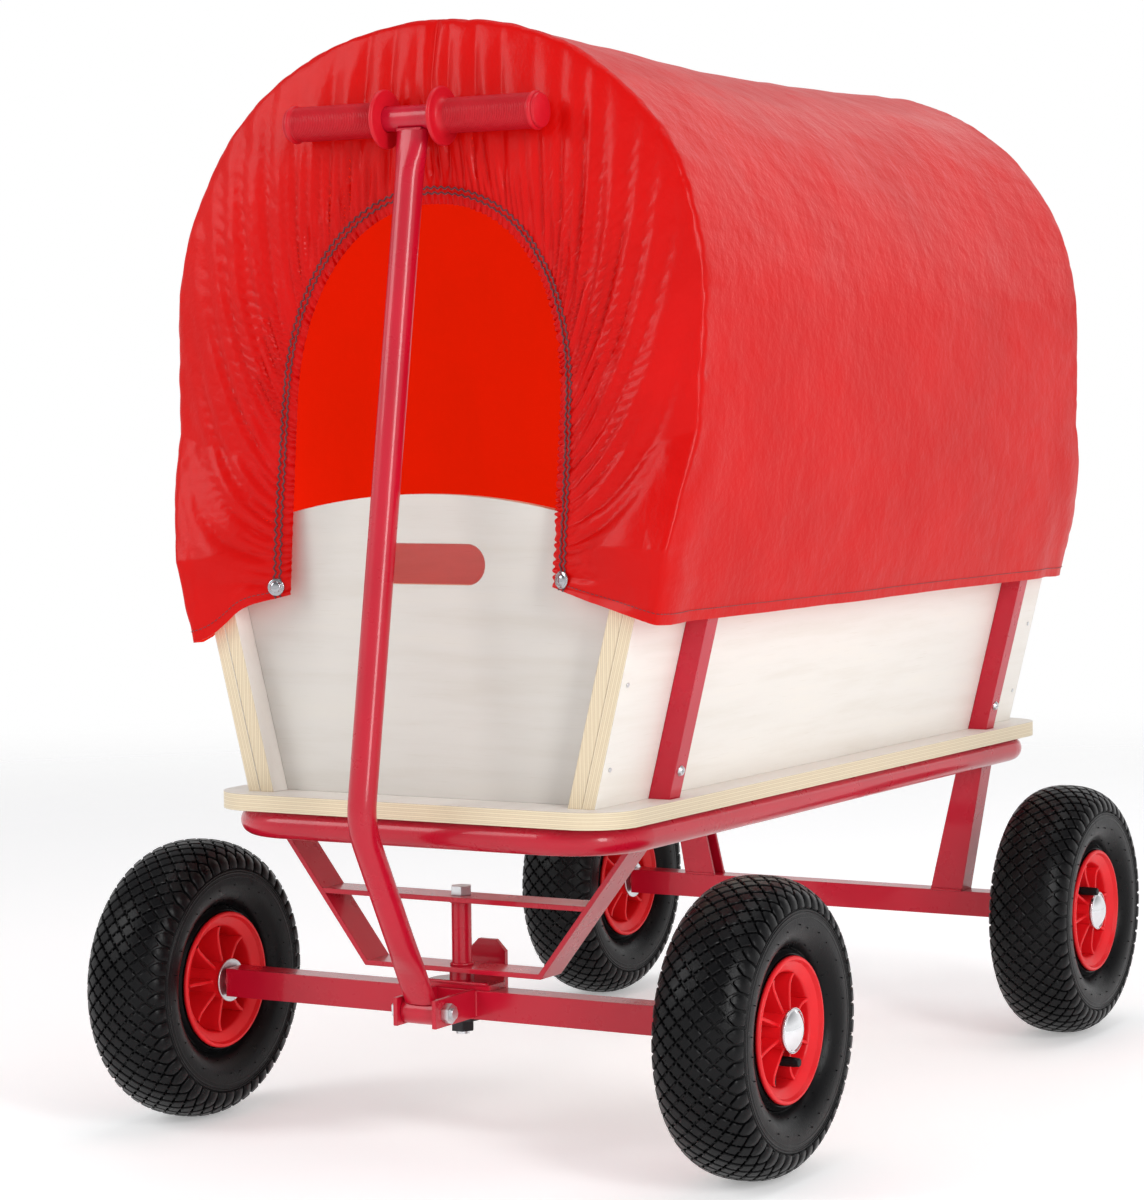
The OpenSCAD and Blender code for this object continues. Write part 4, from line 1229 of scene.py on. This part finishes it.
def weld_steering():
    shape = Shape()
    low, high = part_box("clevis_plates")
    for s in SIDES:
        x = s * (high.x - 0.002) + s * 0.0022
        bead(shape, [(x, high.y, low.z + 0.001), (x, high.y, high.z - 0.001)], 0.0017, 3 + s)
    y = centre("front_axle").y - half_size("front_axle").y + 0.001 + 0.0005
    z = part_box("steering_plate")[0].z + 0.0145
    bead(shape, [(-0.034, y, z), (0.034, y, z)], 0.0016, 9)
    welded(shape, "welds_steering", "steering")


def weld_handle():
    shape = Shape()
    middle = centre("cross_tube").y
    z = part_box("drawbar")[1].z - 0.0006
    for e in SIDES:
        y = middle + e * 0.0078
        bead(shape, [(-0.013, y, z), (0.013, y, z)], 0.0017, 20 + e)
    welded(shape, "welds_handle", "pull_handle")


def weld_wagon():
    shape = Shape()
    low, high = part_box("bracket_strap")
    for s in SIDES:
        x = s * (high.x - 0.004)
        for y in (low.y, high.y):
            bead(shape, [(x - 0.006, y, high.z - 0.005), (x + 0.004, y, high.z - 0.001)], 0.0018, 30 + s)
    low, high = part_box("kingpin_tube")
    mid = (low + high) / 2
    r = (high.x - low.x) / 2 + 0.0004
    turns = np.linspace(0, 2 * math.pi, 40)
    for z in (low.z + 0.001, high.z - 0.001):
        bead(shape, [(mid.x + r * math.cos(a), mid.y + r * math.sin(a), z) for a in turns], 0.0015, 40)
    for side, s in (("left", -1), ("right", 1)):
        low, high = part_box("rear_leg_" + side)
        x0, x1 = sorted((s * 0.131, s * 0.167))
        for y in (low.y, high.y):
            bead(shape, [(x0, y, low.z + 0.0006), (x1, y, low.z + 0.0006)], 0.0016, 50 + s)
    welded(shape, "welds_wagon", "wagon")


# ---- the rest of the frame, painted ----

RED_STEEL = (
    "bed_frame", "bracket_strap", "bracket_crossbar", "kingpin_tube", "rear_axle", "rear_leg_left",
    "rear_leg_right", "front_axle", "steering_plate", "clevis_plates", "drawbar", "drawbar_bush",
    "cross_tube", "stake_front_left", "stake_front_right", "stake_rear_left", "stake_rear_right",
)
ZINC = ("hoop_front", "hoop_rear", "kingpin_bolt", "clevis_bolt", "stake_screws", "cleat_nails")
PANEL_LEAN = 14
PANEL_T = 0.012
PANEL_FOOT_X = 0.179
CLEAT_T = 0.014
# painted shade for the end panels: their faces are darkened to look less lit than the sides
END_PANEL_PAINTED_SHADE = 0.76


def paint_steel():
    for node in RED_STEEL:
        paint(node, MAT["frame_red"])
    for node in ZINC:
        paint(node, MAT["zinc"])
    paint("kingpin_nut", MAT["black_steel"])


def paint_wood():
    lean = math.radians(PANEL_LEAN)
    low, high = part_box("deck")
    paint("deck", plywood("ply_deck", (0, 0, 1), low.z, high.z - low.z, (0, 1, 0), 9))
    for side, s in (("left", -1), ("right", 1)):
        node = "side_panel_" + side
        across = Vector((s * math.cos(lean), 0, -math.sin(lean)))
        outer_foot = Vector((s * PANEL_FOOT_X, 0, high.z))
        start = outer_foot.dot(across) - PANEL_T
        paint(node, plywood("ply_" + node, across, start, PANEL_T, (0, 1, 0)))
    for end in ("front", "rear"):
        panel, cleats = end + "_panel", end + "_cleats"
        low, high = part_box(panel)
        # the end panels get the painted shade, darkening their face colour
        paint(panel, plywood("ply_" + end, (0, 1, 0), low.y, high.y - low.y, (1, 0, 0), painted_shade=END_PANEL_PAINTED_SHADE))
        paint(cleats, plywood("ply_cleat_" + end, (1, 0, 0), 0.0, CLEAT_T, (0, 0, 1)))


# ---- stage, light and camera ----

def make_floor():
    turns = np.linspace(0, 2 * math.pi, 96, endpoint=False)
    ring = [(FLOOR_R * math.cos(a), FLOOR_R * math.sin(a), 0) for a in turns]
    mesh = mesh_from("floor", ring, [tuple(range(96))])
    floor = link(mesh, "floor", [floor_paint()])
    floor.location.z = -0.0005


def area_light(name, place, target, size, power):
    data = bpy.data.lights.new(name, "AREA")
    data.shape = "RECTANGLE"
    data.size, data.size_y = size
    data.energy = power
    lamp = bpy.data.objects.new(name, data)
    lamp.location = Vector(place) + Vector((0, MIDDLE_Y, 0))
    lamp.rotation_euler = (Vector(target) - Vector(place)).to_track_quat("-Z", "Y").to_euler()
    bpy.context.scene.collection.objects.link(lamp)


def make_light():
    area_light("key_left", (-2.3, -2.6, 2.4), (0, -0.1, 0.45), (1.6, 1.9), 44)
    area_light("strip_right", (2.9, -1.9, 1.7), (0, -0.2, 0.55), (0.7, 2.2), 56)
    area_light("top", (0.3, 0.4, 3.4), (0, 0, 0.4), (2.6, 2.6), 30)
    area_light("back", (0.4, 3.0, 2.0), (0, 0, 0.7), (2.4, 1.8), 9)
    world = bpy.data.worlds.new("studio")
    bpy.context.scene.world = world
    world.use_nodes = True
    tree = world.node_tree
    at = add(tree, "ShaderNodeTexCoord").outputs["Generated"]
    up = add(tree, "ShaderNodeSeparateXYZ", Vector=at).outputs["Z"]
    sky = ramp(tree, up, [(0.16, (1, 1, 1)), (0.60, (0.30, 0.30, 0.31))])
    tree.links.new(sky, tree.nodes["Background"].inputs["Color"])


CAMERA_AT = (1.5574, -2.8910, 0.6484)
CAMERA_YAW = 0.5088
CAMERA_DOWN = 0.0541
CAMERA_ROLL = -0.0097
CAMERA_LENS = 99.2
CAMERA_SHIFT_X = -0.0363


def make_camera():
    across, ahead = math.sin(CAMERA_YAW), math.cos(CAMERA_YAW)
    level, drop = math.cos(CAMERA_DOWN), math.sin(CAMERA_DOWN)
    fwd = Vector((-across * level, ahead * level, -drop))
    right = Vector((ahead, across, 0))
    up = right.cross(fwd)
    r2 = right * math.cos(CAMERA_ROLL) + up * math.sin(CAMERA_ROLL)
    u2 = up * math.cos(CAMERA_ROLL) - right * math.sin(CAMERA_ROLL)
    data = bpy.data.cameras.new("camera")
    data.lens = CAMERA_LENS
    data.sensor_width = 36.0
    data.sensor_fit = "AUTO"
    data.shift_x = CAMERA_SHIFT_X
    camera = bpy.data.objects.new("camera", data)
    place = Matrix((r2, u2, -fwd)).transposed().to_4x4()
    place.translation = Vector(CAMERA_AT) + Vector((0, MIDDLE_Y, 0))
    camera.matrix_world = place
    bpy.context.scene.collection.objects.link(camera)
    bpy.context.scene.camera = camera


bpy.context.scene.view_settings.view_transform = "Standard"
make_camera()
make_light()
make_floor()
make_wheels()
make_wheel_metal()
make_snaps(*make_cover())
make_grips()
weld_steering()
weld_handle()
weld_wagon()
paint_steel()
paint_wood()
